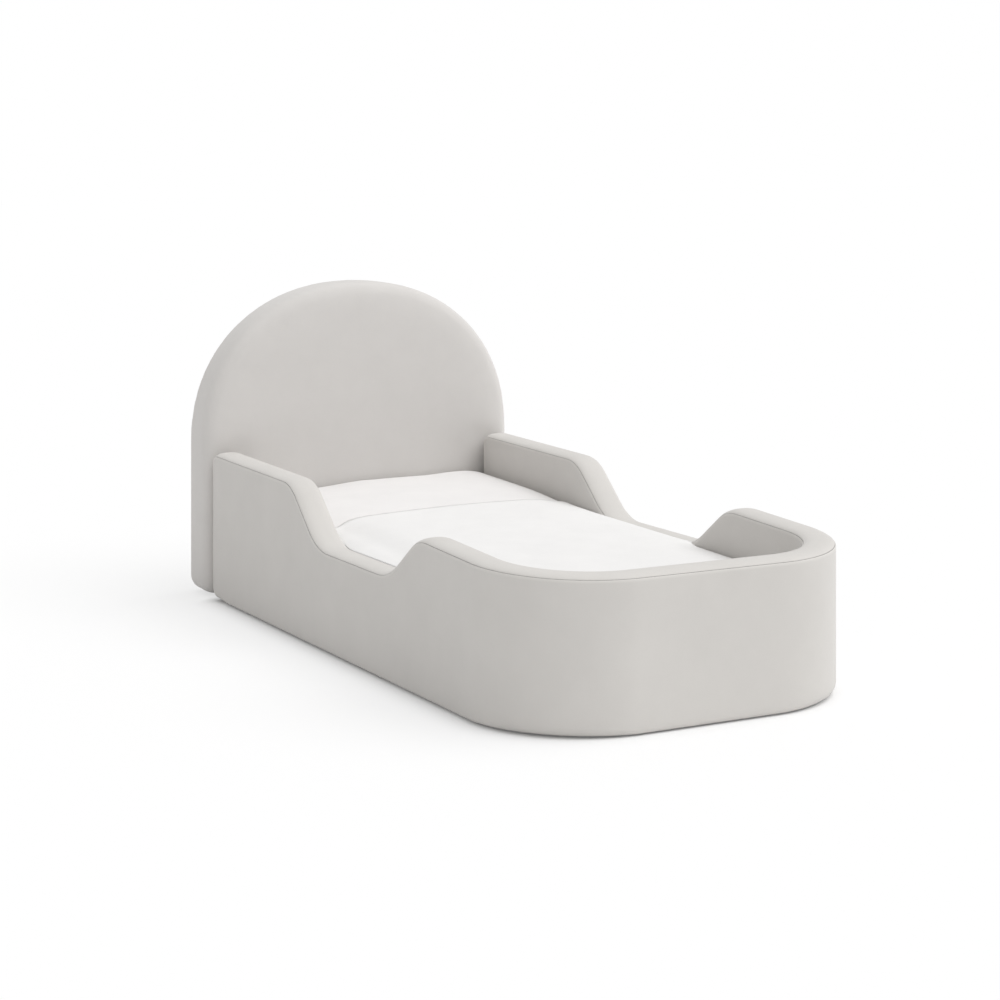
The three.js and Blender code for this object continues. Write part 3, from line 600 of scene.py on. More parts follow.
def edge_of_panel(bm, line, side, backwards=False):
    """A lip along a line of stations."""
    def place(i, j):
        station = line[i]
        point = lip_cloth(station, j, side)
        beside = abs(PANEL_LIP[j][1] - PANEL_LIP[2][1]) * MM
        # The seam's third value is painted light: painted shade in the seam, a painted highlight on the lip.
        return point, (station.run, point.z, 0), (station.run, beside, LIP_PAINTED_LIGHT[j])
    lay_cloth(bm, len(line) - 1, len(PANEL_LIP) - 1, place)


def panel_bottom(i):
    """The lowest point of the outer panel's flat part, below the i-th station."""
    above = top_line[i].at(0, -LIP)
    if i <= END_STEPS:
        return low_arc[END_STEPS - i].at(0, -LIP)
    gone = (HEAD_FACE - above.y) - (RAIL_BACK + END_RADIUS)
    settled = ease(gone / HEM_EASE)
    end_height = low_arc[0].at(0, -LIP).z
    roll_height = FLOOR_GAP + ROLL[0][1] * MM * roll_size(top_line[i])
    height = end_height * (1 - settled) + roll_height * settled
    return Vector((above.x, above.y, height))


def outer_field(i, j):
    low, high = panel_bottom(i), top_line[i].at(0, -LIP)
    if i > END_STEPS:
        low = Vector((high.x, high.y, low.z))
    point = low.lerp(high, j / PANEL_ROWS)
    return point, (top_line[i].run, point.z, 0), (0, 1, 0)


def outer_hem(i, j):
    """The roll under the panel, which fades into the lip round the back corner."""
    start = END_STEPS
    station = top_line[start + i]
    low = panel_bottom(start + i)
    gone = ease(((HEAD_FACE - low.y) - (RAIL_BACK + END_RADIUS)) / HEM_EASE)
    k = len(PANEL_LIP) - 1 - min(j, len(PANEL_LIP) - 1)
    d, h = PANEL_LIP[k]
    lip = Vector((d * MM, -h * MM - LIP))
    roll_d, roll_z = ROLL[j]
    roll = Vector((roll_d * MM, (roll_z - ROLL[0][1]) * MM)) * roll_size(station)
    flat = lip.lerp(roll, gone)
    point = low + station.inward * flat.x + Vector((0, 0, flat.y))
    return point, (station.run, point.z - flat.x, 0), (0, 1, 0)


bm = new_cloth()
edge_of_panel(bm, top_line, outside)
edge_of_panel(bm, climb, outside)
edge_of_panel(bm, low_arc, outside)
lay_cloth(bm, len(top_line) - 1, PANEL_ROWS, outer_field)
lay_cloth(bm, len(top_line) - 1 - END_STEPS, len(ROLL) - 1, outer_hem)
foot_middle = Vector((0, FOOT_FACE, 0.15))
outer_panel = sewn(bm, "outer_panel", surround_fabric, "frame", foot_middle, Vector((0, -1, 0)))

# %% [markdown]
# The inner panel is the same cloth seen from the well: its depth is measured from the other face of
# the wall. It ends a little above the slats, where it is turned in against the board.

# %% Inner panel
INNER_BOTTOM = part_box("inner_cover")[0][2]
INNER_ROLL = [(0, 8), (0.6, 4.9), (2.3, 2.3), (4.9, 0.6), (8, 0), (16, 0.4), (24, 0.8)]
inner_climb = [on_side(RAIL_BACK, z, -1, 0) for z in (
    INNER_BOTTOM + k / CLIMB_STEPS * (high_centre - INNER_BOTTOM) for k in range(CLIMB_STEPS + 1))]
for before, station in zip(inner_climb, inner_climb[1:]):
    station.run = before.run + (station.point - before.point).length


def from_inside(depth):
    return WALL - depth


def inner_field(i, j):
    station = top_line[i]
    high = station.at(WALL, -LIP)
    low = Vector((high.x, high.y, INNER_BOTTOM + INNER_ROLL[0][1] * MM))
    point = low.lerp(high, j / CLIMB_STEPS)
    if i == 0:
        point = inner_climb[j].at(WALL, -LIP)
    return point, (station.run, point.z, 0), (0, 1, 0)


def inner_hem(i, j):
    station = top_line[i]
    high = station.at(WALL, -LIP)
    d, z = INNER_ROLL[j]
    point = Vector((high.x, high.y, INNER_BOTTOM + z * MM)) - station.inward * d * MM
    return point, (station.run, point.z - d * MM, 0), (0, 1, 0)


bm = new_cloth()
edge_of_panel(bm, top_line, from_inside)
edge_of_panel(bm, inner_climb, from_inside)
lay_cloth(bm, len(top_line) - 1, CLIMB_STEPS, inner_field)
lay_cloth(bm, len(top_line) - 1, len(INNER_ROLL) - 1, inner_hem)
well_foot = Vector((0, FOOT_FACE + WALL, 0.25))
inner_panel = sewn(bm, "inner_panel", surround_fabric, "frame", well_foot, Vector((0, 1, 0)))

# %% [markdown]
# The band is one long gusset. Its section is crowned by the foam underneath and rolls down into the
# seam at both edges. Lower than the inner panel it is narrower, because the rail's board is bare there for the
# steel angle that holds it to the headboard.

# %% Gusset band
NARROW = 0.047
CROWN_POWER = 2.6
CROWN_DEPTHS = [11, 15, 20, 26, 31.5, 37, 42.5, 47, 53, 58, 62]


def crown(depth):
    return BAND_CROWN * (1 - abs(2 * depth / WALL - 1) ** CROWN_POWER)


def band_section():
    near = [(d * MM, h * MM) for d, h in BAND_LIP]
    middle = [(d * MM, crown(d * MM)) for d in CROWN_DEPTHS]
    return near + middle + [(WALL - d, h) for d, h in reversed(near)]


full_section = band_section()
narrow_section = [point for point in full_section if point[0] <= NARROW] + [(NARROW, 0.002), (NARROW, -0.018)]


def lay_band(bm, line, section):
    lengths = [0.0]
    for (d0, h0), (d1, h1) in zip(section, section[1:]):
        lengths.append(lengths[-1] + hypot(d1 - d0, h1 - h0))

    def place(i, j):
        d, h = section[j]
        run = line[i].run
        beside = min(lengths[j], abs(lengths[-1] - lengths[j]))
        # The band's edges take painted shade at the bottom of the seam.
        painted_light_weight = (BAND_PAINTED_SHADE + [0] * len(section))[min(j, len(section) - 1 - j)]
        return line[i].at(d, h), (run, lengths[j], 0), (run, beside, painted_light_weight)
    lay_cloth(bm, len(line) - 1, len(section) - 1, place)


split = min(range(CLIMB_STEPS + 1), key=lambda k: abs(climb[k].point.z - INNER_BOTTOM))
bm = new_cloth()
lay_band(bm, top_line, full_section)
lay_band(bm, climb[split:], full_section)
lay_band(bm, climb[:split + 1], narrow_section)
lay_band(bm, low_arc, narrow_section)
top_of_foot = Vector((0, FOOT_FACE + WALL / 2, foot_height(LENGTH) + BAND_CROWN))
gusset = sewn(bm, "gusset_band", surround_fabric, "frame", top_of_foot, Vector((0, 0, 1)))

# %% [markdown]
# ## Stuffed pieces
# The headboard and the mattress are stuffed: cloth pulled tight over foam. Each starts as a clean
# solid a little smaller than the finished piece. A voxel remesh spreads its points evenly, a short
# cloth simulation with pressure inside lets the cover swell and settle, and how far any point may
# move is capped, because foam holds its shape. What rests on something stays flat there.

# %% Swelling a stuffed piece
SWELL_FRAMES = 20
PRESSURE = 4.0


def evaluated_mesh(piece):
    bpy.context.view_layer.update()
    return bpy.data.meshes.new_from_object(piece.evaluated_get(bpy.context.evaluated_depsgraph_get()))


def take_mesh(piece, mesh):
    """Gives the piece its shaped mesh, and drops the modifiers that made it."""
    piece.modifiers.clear()
    old = piece.data
    piece.data = mesh
    bpy.data.meshes.remove(old)


def swell(blank, name, voxel, limit):
    """The blank swollen like a stuffed cover. limit(point) is how far a point may move there."""
    piece = make_piece(blank, name)
    remesh = piece.modifiers.new("even_points", "REMESH")
    remesh.mode = "VOXEL"
    remesh.voxel_size = voxel
    take_mesh(piece, evaluated_mesh(piece))
    rest = [vertex.co.copy() for vertex in piece.data.vertices]
    cloth = piece.modifiers.new("cover", "CLOTH")
    cloth.settings.quality = 4
    cloth.settings.use_pressure = True
    cloth.settings.uniform_pressure_force = PRESSURE
    cloth.settings.effector_weights.gravity = 0
    cloth.point_cache.frame_start = 1
    cloth.point_cache.frame_end = SWELL_FRAMES
    for step in range(1, SWELL_FRAMES + 1):
        scene.frame_set(step)
    take_mesh(piece, evaluated_mesh(piece))
    scene.frame_set(1)
    furthest = 0.0
    for vertex, start in zip(piece.data.vertices, rest):
        move = vertex.co - start
        furthest = max(furthest, move.length)
        most = limit(start)
        if move.length > most:
            move = move * (most / move.length)
        vertex.co = start + move
    print(name, len(rest), "points, swollen by up to", round(furthest * 1000, 1), "mm before the cap")
    return piece


def round_edges(bm, edges, radius, segments):
    bmesh.ops.bevel(bm, geom=edges, offset=radius, segments=segments, profile=0.5, affect="EDGES", material=-1)


def smooth(bm, verts):
    bmesh.ops.smooth_vert(bm, verts=verts, factor=0.5, use_axis_x=True, use_axis_y=True, use_axis_z=True)


def skin_of(piece):
    """A piece's surface, to find the nearest place on it or where a ray meets it."""
    mesh = piece.data
    return BVHTree.FromPolygons([v.co for v in mesh.vertices], [p.vertices for p in mesh.polygons])


def dress(piece, material):
    piece.data.materials.clear()
    piece.data.materials.append(material)


def soften(piece, rounds):
    """Takes out the small unevenness that the cap leaves, without shrinking the form much."""
    bm = bmesh.new()
    bm.from_mesh(piece.data)
    for _ in range(rounds):
        smooth(bm, bm.verts)
    bm.to_mesh(piece.data)
    bm.free()


def refine(piece):
    """One subdivision, applied, so that seams can be pressed into the finer mesh."""
    finer = piece.modifiers.new("finer", "SUBSURF")
    finer.levels = finer.render_levels = 1
    take_mesh(piece, evaluated_mesh(piece))
    piece.data.shade_smooth()


def fit_between(piece, low, high):
    """Stretches a stuffed piece a little, so that it fills its place from the low to the high corner."""
    for axis in range(3):
        values = [vertex.co[axis] for vertex in piece.data.vertices]
        least, most = min(values), max(values)
        scale = (high[axis] - low[axis]) / (most - least)
        for vertex in piece.data.vertices:
            vertex.co[axis] = low[axis] + (vertex.co[axis] - least) * scale
    print(piece.name, "fitted to", [round(h - l, 3) for l, h in zip(low, high)])


print("simulation is", "on")

# %% [markdown]
# ### Headboard
# The headboard is an arch of boards wrapped in foam, with one cover drawn over the front and round
# the edge to the back, where a back panel is sewn in just inside the edge. The outline is half an
# ellipse with slightly fuller shoulders, standing on two straight legs.

# %% Headboard form
board_low, board_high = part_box("headboard_front_cover")
back_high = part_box("headboard_back_cover")[1]
HEAD_DEPTH = back_high[1] - board_low[1]
HEAD_HALF = board_high[0] - 0.001
ARCH_RISE = 0.408
ARCH_FULLNESS = 2.13
SPRINGING = board_high[2] - ARCH_RISE
HEAD_EDGE = 0.034
HEAD_BACK_EDGE = 0.020
HEAD_FOOT = 0.037
HEAD_LOW = 0.006
HEAD_INSET = 0.002
HEAD_SWELL = 0.006
HEAD_VOXEL = 0.009
TOUCH_REACH = 0.05
RIM_BAND, RIM_SHARE = 0.12, 0.15
FOOT_BAND = 0.05


def arch_blank(inset, front, back, low, foot):
    """A slab in the shape of the arch, with its foot corners and both rims rounded."""
    bm = bmesh.new()
    start = bmesh.ops.create_vert(bm, co=(1, front, 0))["vert"]
    bmesh.ops.spin(bm, geom=start, cent=(0, front, 0), axis=(0, 1, 0), angle=-pi, steps=64,
                   use_merge=False, use_duplicate=False)
    for vertex in bm.verts:
        across, up = (abs(vertex.co[k]) ** (2 / ARCH_FULLNESS) for k in (0, 2))
        side = 1 if vertex.co.x > 0 else -1
        vertex.co = (side * across * (HEAD_HALF - inset), front, SPRINGING + up * (ARCH_RISE - inset))
    ends = [v for v in bm.verts if len(v.link_edges) == 1]
    legs = bmesh.ops.extrude_vert_indiv(bm, verts=ends)["verts"]
    for leg in legs:
        leg.co.z = low
    bmesh.ops.contextual_create(bm, geom=legs)
    bmesh.ops.edgeloop_fill(bm, edges=bm.edges)
    face = bm.faces[:]
    grown = bmesh.ops.extrude_face_region(bm, geom=face)
    bmesh.ops.translate(bm, verts=[v for v in grown["geom"] if isinstance(v, bmesh.types.BMVert)],
                        vec=(0, back - front, 0))
    bmesh.ops.recalc_face_normals(bm, faces=bm.faces)
    feet = [e for e in bm.edges if all(abs(v.co.z - low) < 1e-6 for v in e.verts)
            and abs(e.verts[0].co.x - e.verts[1].co.x) < 1e-6]
    round_edges(bm, feet, foot, 8)
    for face, radius in ((back, HEAD_BACK_EDGE), (front, HEAD_EDGE)):
        rim = [e for e in bm.edges if all(abs(v.co.y - face) < 1e-6 for v in e.verts)]
        round_edges(bm, rim, radius - inset, 8)
    return bm


def rail_touch(point):
    """0 where a rail's end presses on the headboard, 1 well away from it."""
    across = abs(point.x) - (HALF_WIDTH - WALL / 2)
    gap_x = max(abs(across) - WALL / 2, 0)
    gap_z = max(point.z - HEAD_RAIL, 0)
    return ease(hypot(gap_x, gap_z) / TOUCH_REACH)


def headboard_limit(point):
    """The faces may swell, the edge hardly, because the cover is pulled tightest round it."""
    over = max(point.z - SPRINGING, 0) / ARCH_RISE
    rim = 1 - (abs(point.x / HEAD_HALF) ** ARCH_FULLNESS + over ** ARCH_FULLNESS) ** (1 / ARCH_FULLNESS)
    side = ease(rim / RIM_BAND) * ease((point.z - FLOOR_GAP) / FOOT_BAND)
    front = point.y < HEAD_FACE + HEAD_DEPTH / 2
    return HEAD_SWELL * (RIM_SHARE + (1 - RIM_SHARE) * side) * (rail_touch(point) if front else 1)


blank = arch_blank(HEAD_INSET, HEAD_FACE + HEAD_INSET, HEAD_FACE + HEAD_DEPTH - HEAD_INSET,
                   HEAD_LOW + HEAD_INSET, HEAD_FOOT - HEAD_INSET)
headboard = swell(blank, "headboard_pad", HEAD_VOXEL, headboard_limit)
soften(headboard, 3)
refine(headboard)
fit_between(headboard, (-HEAD_HALF, HEAD_FACE, HEAD_LOW), (HEAD_HALF, HEAD_FACE + HEAD_DEPTH, board_high[2]))

# %% Back seam of the headboard
SEAM_SETBACK = 0.014
SEAM_DEPTH = 0.0022
SEAM_WIDTH = 0.0034


def press_seam(piece, origin, normal, depth, width, inward):
    """Cuts extra rings of points beside a plane through the piece and presses a groove along it.
    inward(point) is the way in."""
    bm = bmesh.new()
    bm.from_mesh(piece.data)
    for share in (-1, -0.5, -0.2, 0, 0.2, 0.5, 1):
        bmesh.ops.bisect_plane(bm, geom=bm.verts[:] + bm.edges[:] + bm.faces[:], dist=1e-5,
                               plane_co=origin + normal * share * width, plane_no=normal)
    for vertex in bm.verts:
        off = abs((vertex.co - origin).dot(normal)) / width
        if off < 1:
            vertex.co += inward(vertex.co) * depth * (1 - off) ** 1.5
    bm.to_mesh(piece.data)
    bm.free()
    piece.data.shade_smooth()


def towards_arch_middle(point):
    if point.z > SPRINGING:
        return Vector((-point.x, 0, SPRINGING - point.z)).normalized()
    if point.z < FLOOR_GAP + 0.02:
        return Vector((0, 0, 1))
    return Vector((-1 if point.x > 0 else 1, 0, 0))


press_seam(headboard, Vector((0, HEAD_FACE + HEAD_DEPTH - SEAM_SETBACK, 0)), Vector((0, 1, 0)),
           SEAM_DEPTH, SEAM_WIDTH, towards_arch_middle)
dress(headboard, headboard_fabric_painted_paler)
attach(headboard, "frame")
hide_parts("headboard_front_cover", "headboard_back_cover", "headboard_front_foam",
            "headboard_back_foam")
print("headboard", len(headboard.data.polygons), "faces")

# %% [markdown]
# ### Mattress
# A child's mattress: a foam slab in a fitted sheet, squeezed a little between the rails. It is rounded
# at the foot corners, where it follows the surround. Its top is slightly crowned, the head end is a
# little thicker, and one corner there has been lain on and sags.

# %% Mattress
bed_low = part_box("mattress_cover_base")[0]
bed_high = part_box("mattress_cover_top")[1]
SQUEEZE = 0.0036
BED_HALF = bed_high[0] + SQUEEZE
BED_HEAD = bed_high[1] + 2 * SQUEEZE
BED_FOOT = bed_low[1] - SQUEEZE
BED_BOTTOM = bed_low[2]
EDGE_HEIGHT = 0.087
HEAD_RISE = 0.042
TOP_CROWN, BED_CROWN_POWER = 0.013, 5
CROWN_AT_FOOT, CROWN_LENGTH = 0.35, 0.30
HEAD_SAG, SAG_WIDTH, SAG_LENGTH, SAG_POWER = 0.011, 0.16, 0.28, 6
SIDE_LIFT, LIFT_FROM, LIFT_WIDTH = 0.009, 0.16, 0.15
LIFT_LENGTH, LIFT_FADE = 0.30, 0.25
ENTRY_FALL, FALL_FROM, FALL_WIDTH = 0.012, 0.235, 0.115
FALL_START, FALL_END, FALL_FADE = 0.47, 1.05, 0.12
BED_CORNER = CORNER - WALL - 0.0034
BLANK_EDGE, BLANK_LOW_EDGE = 0.005, 0.012
HEAD_CORNER = 0.030
BED_INSET = 0.003
BED_SWELL = 0.004
BED_VOXEL = 0.011
BED_SEAM, BED_SEAM_DEPTH, BED_SEAM_WIDTH = 0.045, 0.0016, 0.003
FLAT_BASE = 0.02
DRAPE = 0.0012


def top_of_bed(x, y):
    """Height of the mattress's top at a place in plan."""
    toward_head = min(max((y - BED_FOOT) / (BED_HEAD - BED_FOOT), 0), 1)
    across = min(abs(x) / BED_HALF, 1)
    end = min(max((y - BED_FOOT) / CROWN_LENGTH, 0), 1)
    from_head = BED_HEAD - y
    fullness = ease(CROWN_AT_FOOT + (1 - CROWN_AT_FOOT) * end)
    crown = TOP_CROWN * (1 - across ** BED_CROWN_POWER) * fullness
    lean = SIDE_LIFT * ease((x - LIFT_FROM) / LIFT_WIDTH) * (1 - ease((from_head - LIFT_LENGTH) / LIFT_FADE))
    sag = HEAD_SAG * ease(-x / SAG_WIDTH) * ease((y - BED_HEAD) / SAG_LENGTH + 1) * (1 - across ** SAG_POWER)
    lie = ENTRY_FALL * ease((-x - FALL_FROM) / FALL_WIDTH)
    lie = lie * ease((from_head - FALL_START) / FALL_FADE) * (1 - ease((from_head - FALL_END) / FALL_FADE))
    return BED_BOTTOM + EDGE_HEIGHT + HEAD_RISE * toward_head + crown + lean - sag - lie


def mattress_blank():
    low, high = BED_BOTTOM + BED_INSET, BED_BOTTOM + EDGE_HEIGHT - BED_INSET
    size = Vector((2 * (BED_HALF - BED_INSET), BED_HEAD - BED_FOOT - 2 * BED_INSET, high - low))
    bm = bmesh.new()
    bmesh.ops.create_cube(bm, size=1, matrix=Matrix.Translation((0, (BED_HEAD + BED_FOOT) / 2, (low + high) / 2))
                          @ Matrix.Diagonal((*size, 1)))
    upright = [e for e in bm.edges if abs(e.verts[0].co.z - e.verts[1].co.z) > 1e-6]
    at_foot = [e for e in upright if e.verts[0].co.y < 0]
    at_head = [e for e in upright if e.verts[0].co.y > 0]
    round_edges(bm, at_head, HEAD_CORNER, 5)
    round_edges(bm, at_foot, BED_CORNER - BED_INSET, 20)
    for height, radius in ((high, BLANK_EDGE), (low, BLANK_LOW_EDGE)):
        rim = [e for e in bm.edges if all(abs(v.co.z - height) < 1e-6 for v in e.verts) and len(e.link_faces) == 2
               and any(abs(f.normal.z) < 0.5 for f in e.link_faces)]
        round_edges(bm, rim, radius, 6)
    return bm


def mattress_limit(point):
    """The underside rests on the slats and stays flat."""
    return BED_SWELL * ease((point.z - BED_BOTTOM) / 0.03)


mattress = swell(mattress_blank(), "mattress_pad", BED_VOXEL, mattress_limit)
fit_between(mattress, (-BED_HALF, BED_FOOT, BED_BOTTOM), (BED_HALF, BED_HEAD, BED_BOTTOM + EDGE_HEIGHT))
low = BED_BOTTOM + FLAT_BASE
for vertex in mattress.data.vertices:
    point = vertex.co
    share = ease((point.z - low) / (EDGE_HEIGHT - FLAT_BASE))
    lift = top_of_bed(point.x, point.y) - (BED_BOTTOM + EDGE_HEIGHT)
    drape = noise.noise(Vector((point.x * 5, point.y * 4, 0))) * DRAPE
    vertex.co.z += share * (lift + drape)
soften(mattress, 2)
refine(mattress)


def towards_bed_middle(point):
    y = min(max(point.y, BED_FOOT + BED_CORNER), BED_HEAD - HEAD_CORNER)
    x = min(max(point.x, BED_CORNER - BED_HALF), BED_HALF - BED_CORNER)
    if point.y > y:
        x = min(max(point.x, HEAD_CORNER - BED_HALF), BED_HALF - HEAD_CORNER)
    way = Vector((x - point.x, y - point.y, 0))
    return way.normalized() if way.length > 1e-6 else Vector((0, 0, 0))


press_seam(mattress, Vector((0, 0, BED_BOTTOM + BED_SEAM)), Vector((0, 0, 1)),
           BED_SEAM_DEPTH, BED_SEAM_WIDTH, towards_bed_middle)
dress(mattress, sheet_cotton)
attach(mattress, "mattress")
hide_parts("mattress_core", "mattress_cover_top", "mattress_cover_base")
print("mattress", len(mattress.data.polygons), "faces")

# %% [markdown]
# ### Blanket
# The blanket is a light cover over the lower two thirds of the mattress, tucked down between the
# mattress and the surround. It is laid out as one flat field with a strip round three sides that
# rolls over the mattress's edge. Where the rail is low there is nothing to hold it in, so it puffs
# out over the rail's soft inner edge. Its hem has slipped towards the foot at both sides, further on
# the left.

# %% Blanket: where it lies
HEM_AT = 0.474
BLANKET = 0.0018
BLANKET_SEAT = 0.0003
TUCK = 0.062
ROLL_ROWS, TUCK_ROWS = 10, 18
BLANKET_ROWS = 44
BLANKET_STEP = 0.014
LAP = 0.040
inset_half = BED_HALF - LAP
inset_corner = BED_CORNER - LAP
inset_foot = BED_FOOT + LAP
drop_length = LAP * pi / 2 + TUCK - LAP
mattress_skin = skin_of(mattress)
SLIP_SLOPE, SLIP_STRAIGHT = 0.13, 0.2
SLIP_LEFT, SLIP_LEFT_WIDTH, SLIP_POWER = 0.045, 0.13, 2.5
SLIP_RIGHT, SLIP_RIGHT_FROM, SLIP_RIGHT_WIDTH = 0.02, 0.25, 0.08
SLIP_FADE = 0.30
TUCK_SLIP = 0.012


def blanket_height(x, y):
    """Height of the blanket's upper face where it lies on the mattress."""
    spot = mattress_skin.ray_cast(Vector((x, y, 1)), Vector((0, 0, -1)))[0]
    ripple = 0.0006 * noise.noise(Vector((x * 7, y * 5, 1)))
    return spot.z + BLANKET + BLANKET_SEAT + ripple


def hem_slip(x):
    """How far the hem has slipped towards the foot."""
    steady = SLIP_SLOPE * min(max(-x, 0), SLIP_STRAIGHT)
    left = SLIP_LEFT * (max(-x - SLIP_STRAIGHT, 0) / SLIP_LEFT_WIDTH) ** SLIP_POWER
    right = SLIP_RIGHT * ease((x - SLIP_RIGHT_FROM) / SLIP_RIGHT_WIDTH)
    return steady + left + right


def bed_rim():
    """Stations down the left side of the mattress's flat top, round the foot corner."""
    start = HEAD_FACE - HEM_AT
    finish = inset_foot + inset_corner
    steps = ceil((start - finish) / BLANKET_STEP)
    line = [(Vector((-inset_half, start + (finish - start) * k / steps, 0)), Vector((-1, 0, 0)))
            for k in range(steps + 1)]
    bends = ceil(inset_corner * pi / 2 / BLANKET_STEP) + 4
    for k in range(1, bends + 1):
        angle = k / bends * pi / 2
        way = Vector((-cos(angle), -sin(angle), 0))
        line.append((Vector((inset_corner - inset_half, finish, 0)) + way * inset_corner, way))
    return line


rim = bed_rim()
print("blanket rim:", len(rim), "stations")

# %% Blanket: its edge
PUFF_REACH, SNUG_REACH = 0.0625, 0.0421
PUFF_BEFORE, PUFF_RISE = 0.088, 0.21
PUFF_BEYOND, PUFF_SINK = 0.045, 0.07
SETTLE_ROUNDS = 4
SETTLE_REACH = 0.02
BAND_CLEAR, BED_CLEAR = 0.0005, 0.0002
SNUG_DROP = 0.012
REST_HEIGHT = ENTRY_HEIGHT + 0.0052
SNUG_FALL = [(0, 5), (0, 10), (0, 15), (0, 20), (0, 26), (0, 32), (0, 37), (0, 42)]
PUFF_FALL = [(-1.2, 0.6), (-5, 1.2), (-10.5, 3.8), (-15, 7.7), (-18.6, 13), (-19.6, 20), (-19.9, 27), (-19.9, 33)]


def puff(y):
    """1 where the rail is low and the blanket lies out over it, 0 where the rail holds it in."""
    t = HEAD_FACE - y
    rise = ease((t - ENTRY_START + PUFF_BEFORE) / PUFF_RISE)
    return rise * ease((ENTRY_END + PUFF_BEYOND - t) / PUFF_SINK)


def edge_point(spot, way, j, slip):
    """The j-th point of the blanket's edge: a soft roll, then the part tucked away."""
    spot = Vector((spot.x, spot.y - slip, 0))
    top = blanket_height(spot.x, spot.y)
    lies_out = puff(spot.y) * abs(way.x) ** 4
    reach = SNUG_REACH + (PUFF_REACH - SNUG_REACH) * lies_out
    drop = SNUG_DROP + (top - REST_HEIGHT - SNUG_DROP) * lies_out
    angle = min(j / ROLL_ROWS, 1) * pi / 2
    out = reach * sin(angle)
    down = drop * (0.35 * (1 - cos(angle)) + 0.65 * sin(angle) ** 2)
    if j > ROLL_ROWS:
        snug, puffed = SNUG_FALL[j - ROLL_ROWS - 1], PUFF_FALL[j - ROLL_ROWS - 1]
        out += MM * (snug[0] + (puffed[0] - snug[0]) * lies_out)
        down += MM * (snug[1] + (puffed[1] - snug[1]) * lies_out)
    point = spot + way * out
    point.z = top - down
    return point


def slip_at(x, i):
    """The slip fades out along the blanket."""
    return hem_slip(x) * (1 - ease(i * BLANKET_STEP / SLIP_FADE))


def blanket_field(i, j):
    spot, _ = rim[i]
    x = spot.x * (1 - 2 * j / BLANKET_ROWS)
    y = spot.y - slip_at(x, i)
    return Vector((x, y, blanket_height(x, y))), (x, y, 0), (0, 1, 0)


def blanket_side(sign):
    def place(i, j):
        spot, way = rim[i]
        turned = Vector((spot.x * sign, spot.y, 0))
        out = Vector((way.x * sign, way.y, 0))
        slip = slip_at(turned.x, i)
        if sign > 0:
            slip += TUCK_SLIP * (1 - ease(i * BLANKET_STEP / SLIP_FADE)) * j / TUCK_ROWS
        flat = turned + out * drop_length * j / TUCK_ROWS
        return edge_point(turned, out, j, slip), (flat.x, flat.y, 0), (0, 1, 0)
    return place


def blanket_foot(i, j):
    x = rim[-1][0].x * (1 - 2 * i / BLANKET_ROWS)
    point = edge_point(Vector((x, inset_foot, 0)), Vector((0, -1, 0)), j, 0)
    return point, (x, inset_foot - drop_length * j / TUCK_ROWS, 0), (0, 1, 0)


print("blanket reaches", round((inset_half + PUFF_REACH) * 1000), "mm from the middle over the entries")

# %% Blanket
bm = new_cloth()
lay_cloth(bm, len(rim) - 1, BLANKET_ROWS, blanket_field)
lay_cloth(bm, len(rim) - 1, TUCK_ROWS, blanket_side(1))
lay_cloth(bm, len(rim) - 1, TUCK_ROWS, blanket_side(-1))
lay_cloth(bm, BLANKET_ROWS, TUCK_ROWS, blanket_foot)
bmesh.ops.remove_doubles(bm, verts=bm.verts, dist=1e-5)
band_skin = skin_of(gusset)
inner = [v for v in bm.verts if not v.is_boundary]
for _ in range(SETTLE_ROUNDS):
    smooth(bm, inner)
    for vertex in bm.verts:
        for skin, clear in ((band_skin, BAND_CLEAR), (mattress_skin, BLANKET + BED_CLEAR)):
            spot, normal, _, gap = skin.find_nearest(vertex.co)
            lift = (vertex.co - spot).dot(normal)
            if gap < SETTLE_REACH and lift < clear:
                vertex.co += normal * (clear - lift)
blanket_area = sum(face.calc_area() for face in bm.faces)
blanket = sewn(bm, "tucked_blanket", blanket_cotton, "blanket", Vector((0, 0, 0.28)),
               Vector((0, 0, 1)), thickness=BLANKET, mirror=False)
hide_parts("blanket")

# %% [markdown]
# ## Fixings
# The angles, the splice plates and the slat cleats are screwed to the boards, and the webbing is
# fixed to each slat. One screw head is turned as a small profile and set wherever a screw is.

# %% Screw heads
HEAD_PROFILE = [(0, 1.1), (1.3, 1.1), (1.6, 1.9), (2.6, 1.7), (3.6, 0.9), (4.0, 0)]
ANGLE_PLATE = 0.004
ANGLE_HOLES = (0.016, 0.044)
SPLICE_HOLES, SPLICE_EDGE = (0.03, 0.065), 0.018
CLEAT_END, CLEAT_SPANS = 0.08, 6
SLATS = 10


def set_screw(bm, place, way):
    """Turns one pan head with a recess, standing on place and facing the given way."""
    points = [bmesh.ops.create_vert(bm, co=(r * MM, 0, h * MM))["vert"][0] for r, h in HEAD_PROFILE]
    profile = [bm.edges.new(pair) for pair in zip(points, points[1:])]
    bmesh.ops.spin(bm, geom=points + profile, cent=(0, 0, 0), axis=(0, 0, 1), angle=2 * pi, steps=16,
                   use_merge=True, use_duplicate=False)
    fresh = [v for v in bm.verts if not v.tag]
    facing = way.to_track_quat("Z", "Y").to_matrix().to_4x4()
    bmesh.ops.transform(bm, matrix=Matrix.Translation(place) @ facing, verts=fresh)
    for vertex in fresh:
        vertex.tag = True


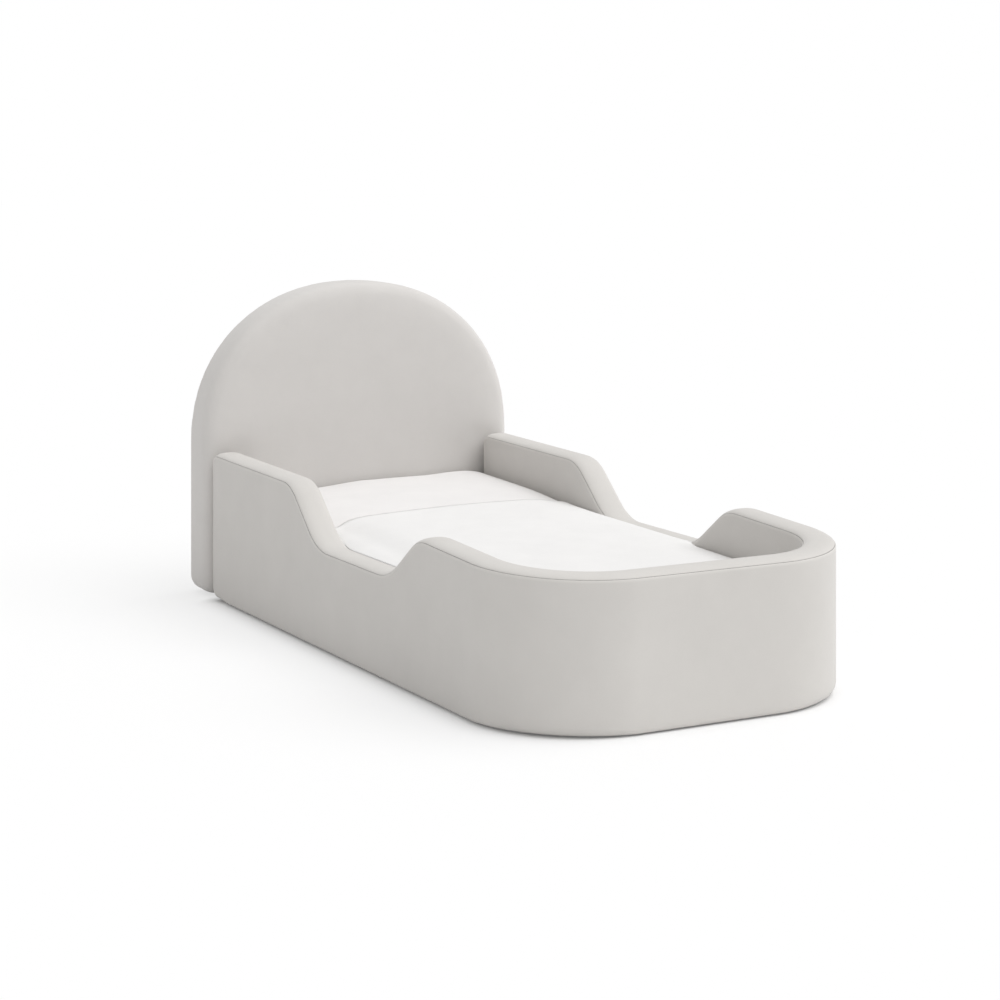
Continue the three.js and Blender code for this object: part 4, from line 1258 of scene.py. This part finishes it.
def screws_on(side, out):
    """Place and direction of each screw on one side of the bed. out is -1 on the left and 1 on the right."""
    inward, down = Vector((-out, 0, 0)), Vector((0, 0, -1))
    inner, outer = (1, 0) if out < 0 else (0, 1)
    low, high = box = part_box(side + "_bracket")
    plate = box[outer][0] - out * ANGLE_PLATE
    found = [(Vector((plate, low[1] + y, (low[2] + high[2]) / 2)), inward) for y in ANGLE_HOLES]
    low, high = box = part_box(side + "_splice_plate")
    rows = [low[1] + y for y in SPLICE_HOLES] + [high[1] - y for y in reversed(SPLICE_HOLES)]
    heights = (low[2] + SPLICE_EDGE, high[2] - SPLICE_EDGE)
    found += [(Vector((box[inner][0], y, z)), inward) for y in rows for z in heights]
    low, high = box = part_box(side + "_cleat")
    span = high[1] - low[1] - 2 * CLEAT_END
    rows = [low[1] + CLEAT_END + span * k / CLEAT_SPANS for k in range(CLEAT_SPANS + 1)]
    found += [(Vector((box[inner][0], y, (low[2] + high[2]) / 2)), inward) for y in rows]
    low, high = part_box(side + "_slat_strap")
    for k in range(1, SLATS + 1):
        slat_low, slat_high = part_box(f"slat_{k:02d}")
        found.append((Vector(((low[0] + high[0]) / 2, (slat_low[1] + slat_high[1]) / 2, low[2])), down))
    return found


places = screws_on("left", -1) + screws_on("right", 1)
bm = bmesh.new()
for place, way in places:
    set_screw(bm, place, way)
bmesh.ops.remove_doubles(bm, verts=bm.verts, dist=1e-6)
bmesh.ops.recalc_face_normals(bm, faces=bm.faces)
screws = make_piece(bm, "screw_heads", finishes["steel"])
screws.data.shade_smooth()
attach(screws, "frame")
print("screw heads:", len(places))

# %% [markdown]
# ## Sizes of the covers
# The covers are sheets held taut. For each, the rectangle that it is cut from is worked out: its
# whole length round the bed by its deepest place. The widths of the two panels count the first
# stretch of the hem twice, so they are 10 mm too wide outside and 8 mm too wide inside. The flat
# areas, and the blanket's, are measured on the meshes themselves, so holding a mesh against its flat
# area can find no fault. The covers take the place of the imported covers and foams that they enclose.

# %% Sizes of the covers
def length_of(points):
    """Length of a line through the points."""
    return sum((after - before).length for before, after in zip(points, points[1:]))


def round_the_bed(depth):
    """Length of the wall in plan, from one back end round the foot to the other, at a depth in it."""
    plan = [station.at(depth, 0) for station in top_line]
    return 2 * length_of([Vector((point.x, point.y, 0)) for point in plan])


def profile_length(profile):
    """Length in metres of a profile given in millimetres."""
    return length_of([Vector((d * MM, h * MM, 0)) for d, h in profile])


lip = profile_length(PANEL_LIP)
section = length_of([Vector((d, h, 0)) for d, h in full_section])
seam_length = 2 * (top_line[-1].run + climb[-1].run + low_arc[-1].run)
cuts = {
    outer_panel: (HEAD_RAIL - FLOOR_GAP - LIP + lip + profile_length(ROLL), round_the_bed(0) + 2 * lip),
    inner_panel: (HEAD_RAIL - INNER_BOTTOM - LIP + lip + profile_length(INNER_ROLL), round_the_bed(WALL) + 2 * lip),
    gusset: (section, seam_length),
}
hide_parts("outer_cover", "left_outer_foam", "right_outer_foam", "foot_outer_foam")
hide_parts("inner_cover", "left_inner_foam", "right_inner_foam", "foot_inner_foam")
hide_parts("top_band", "top_pad")
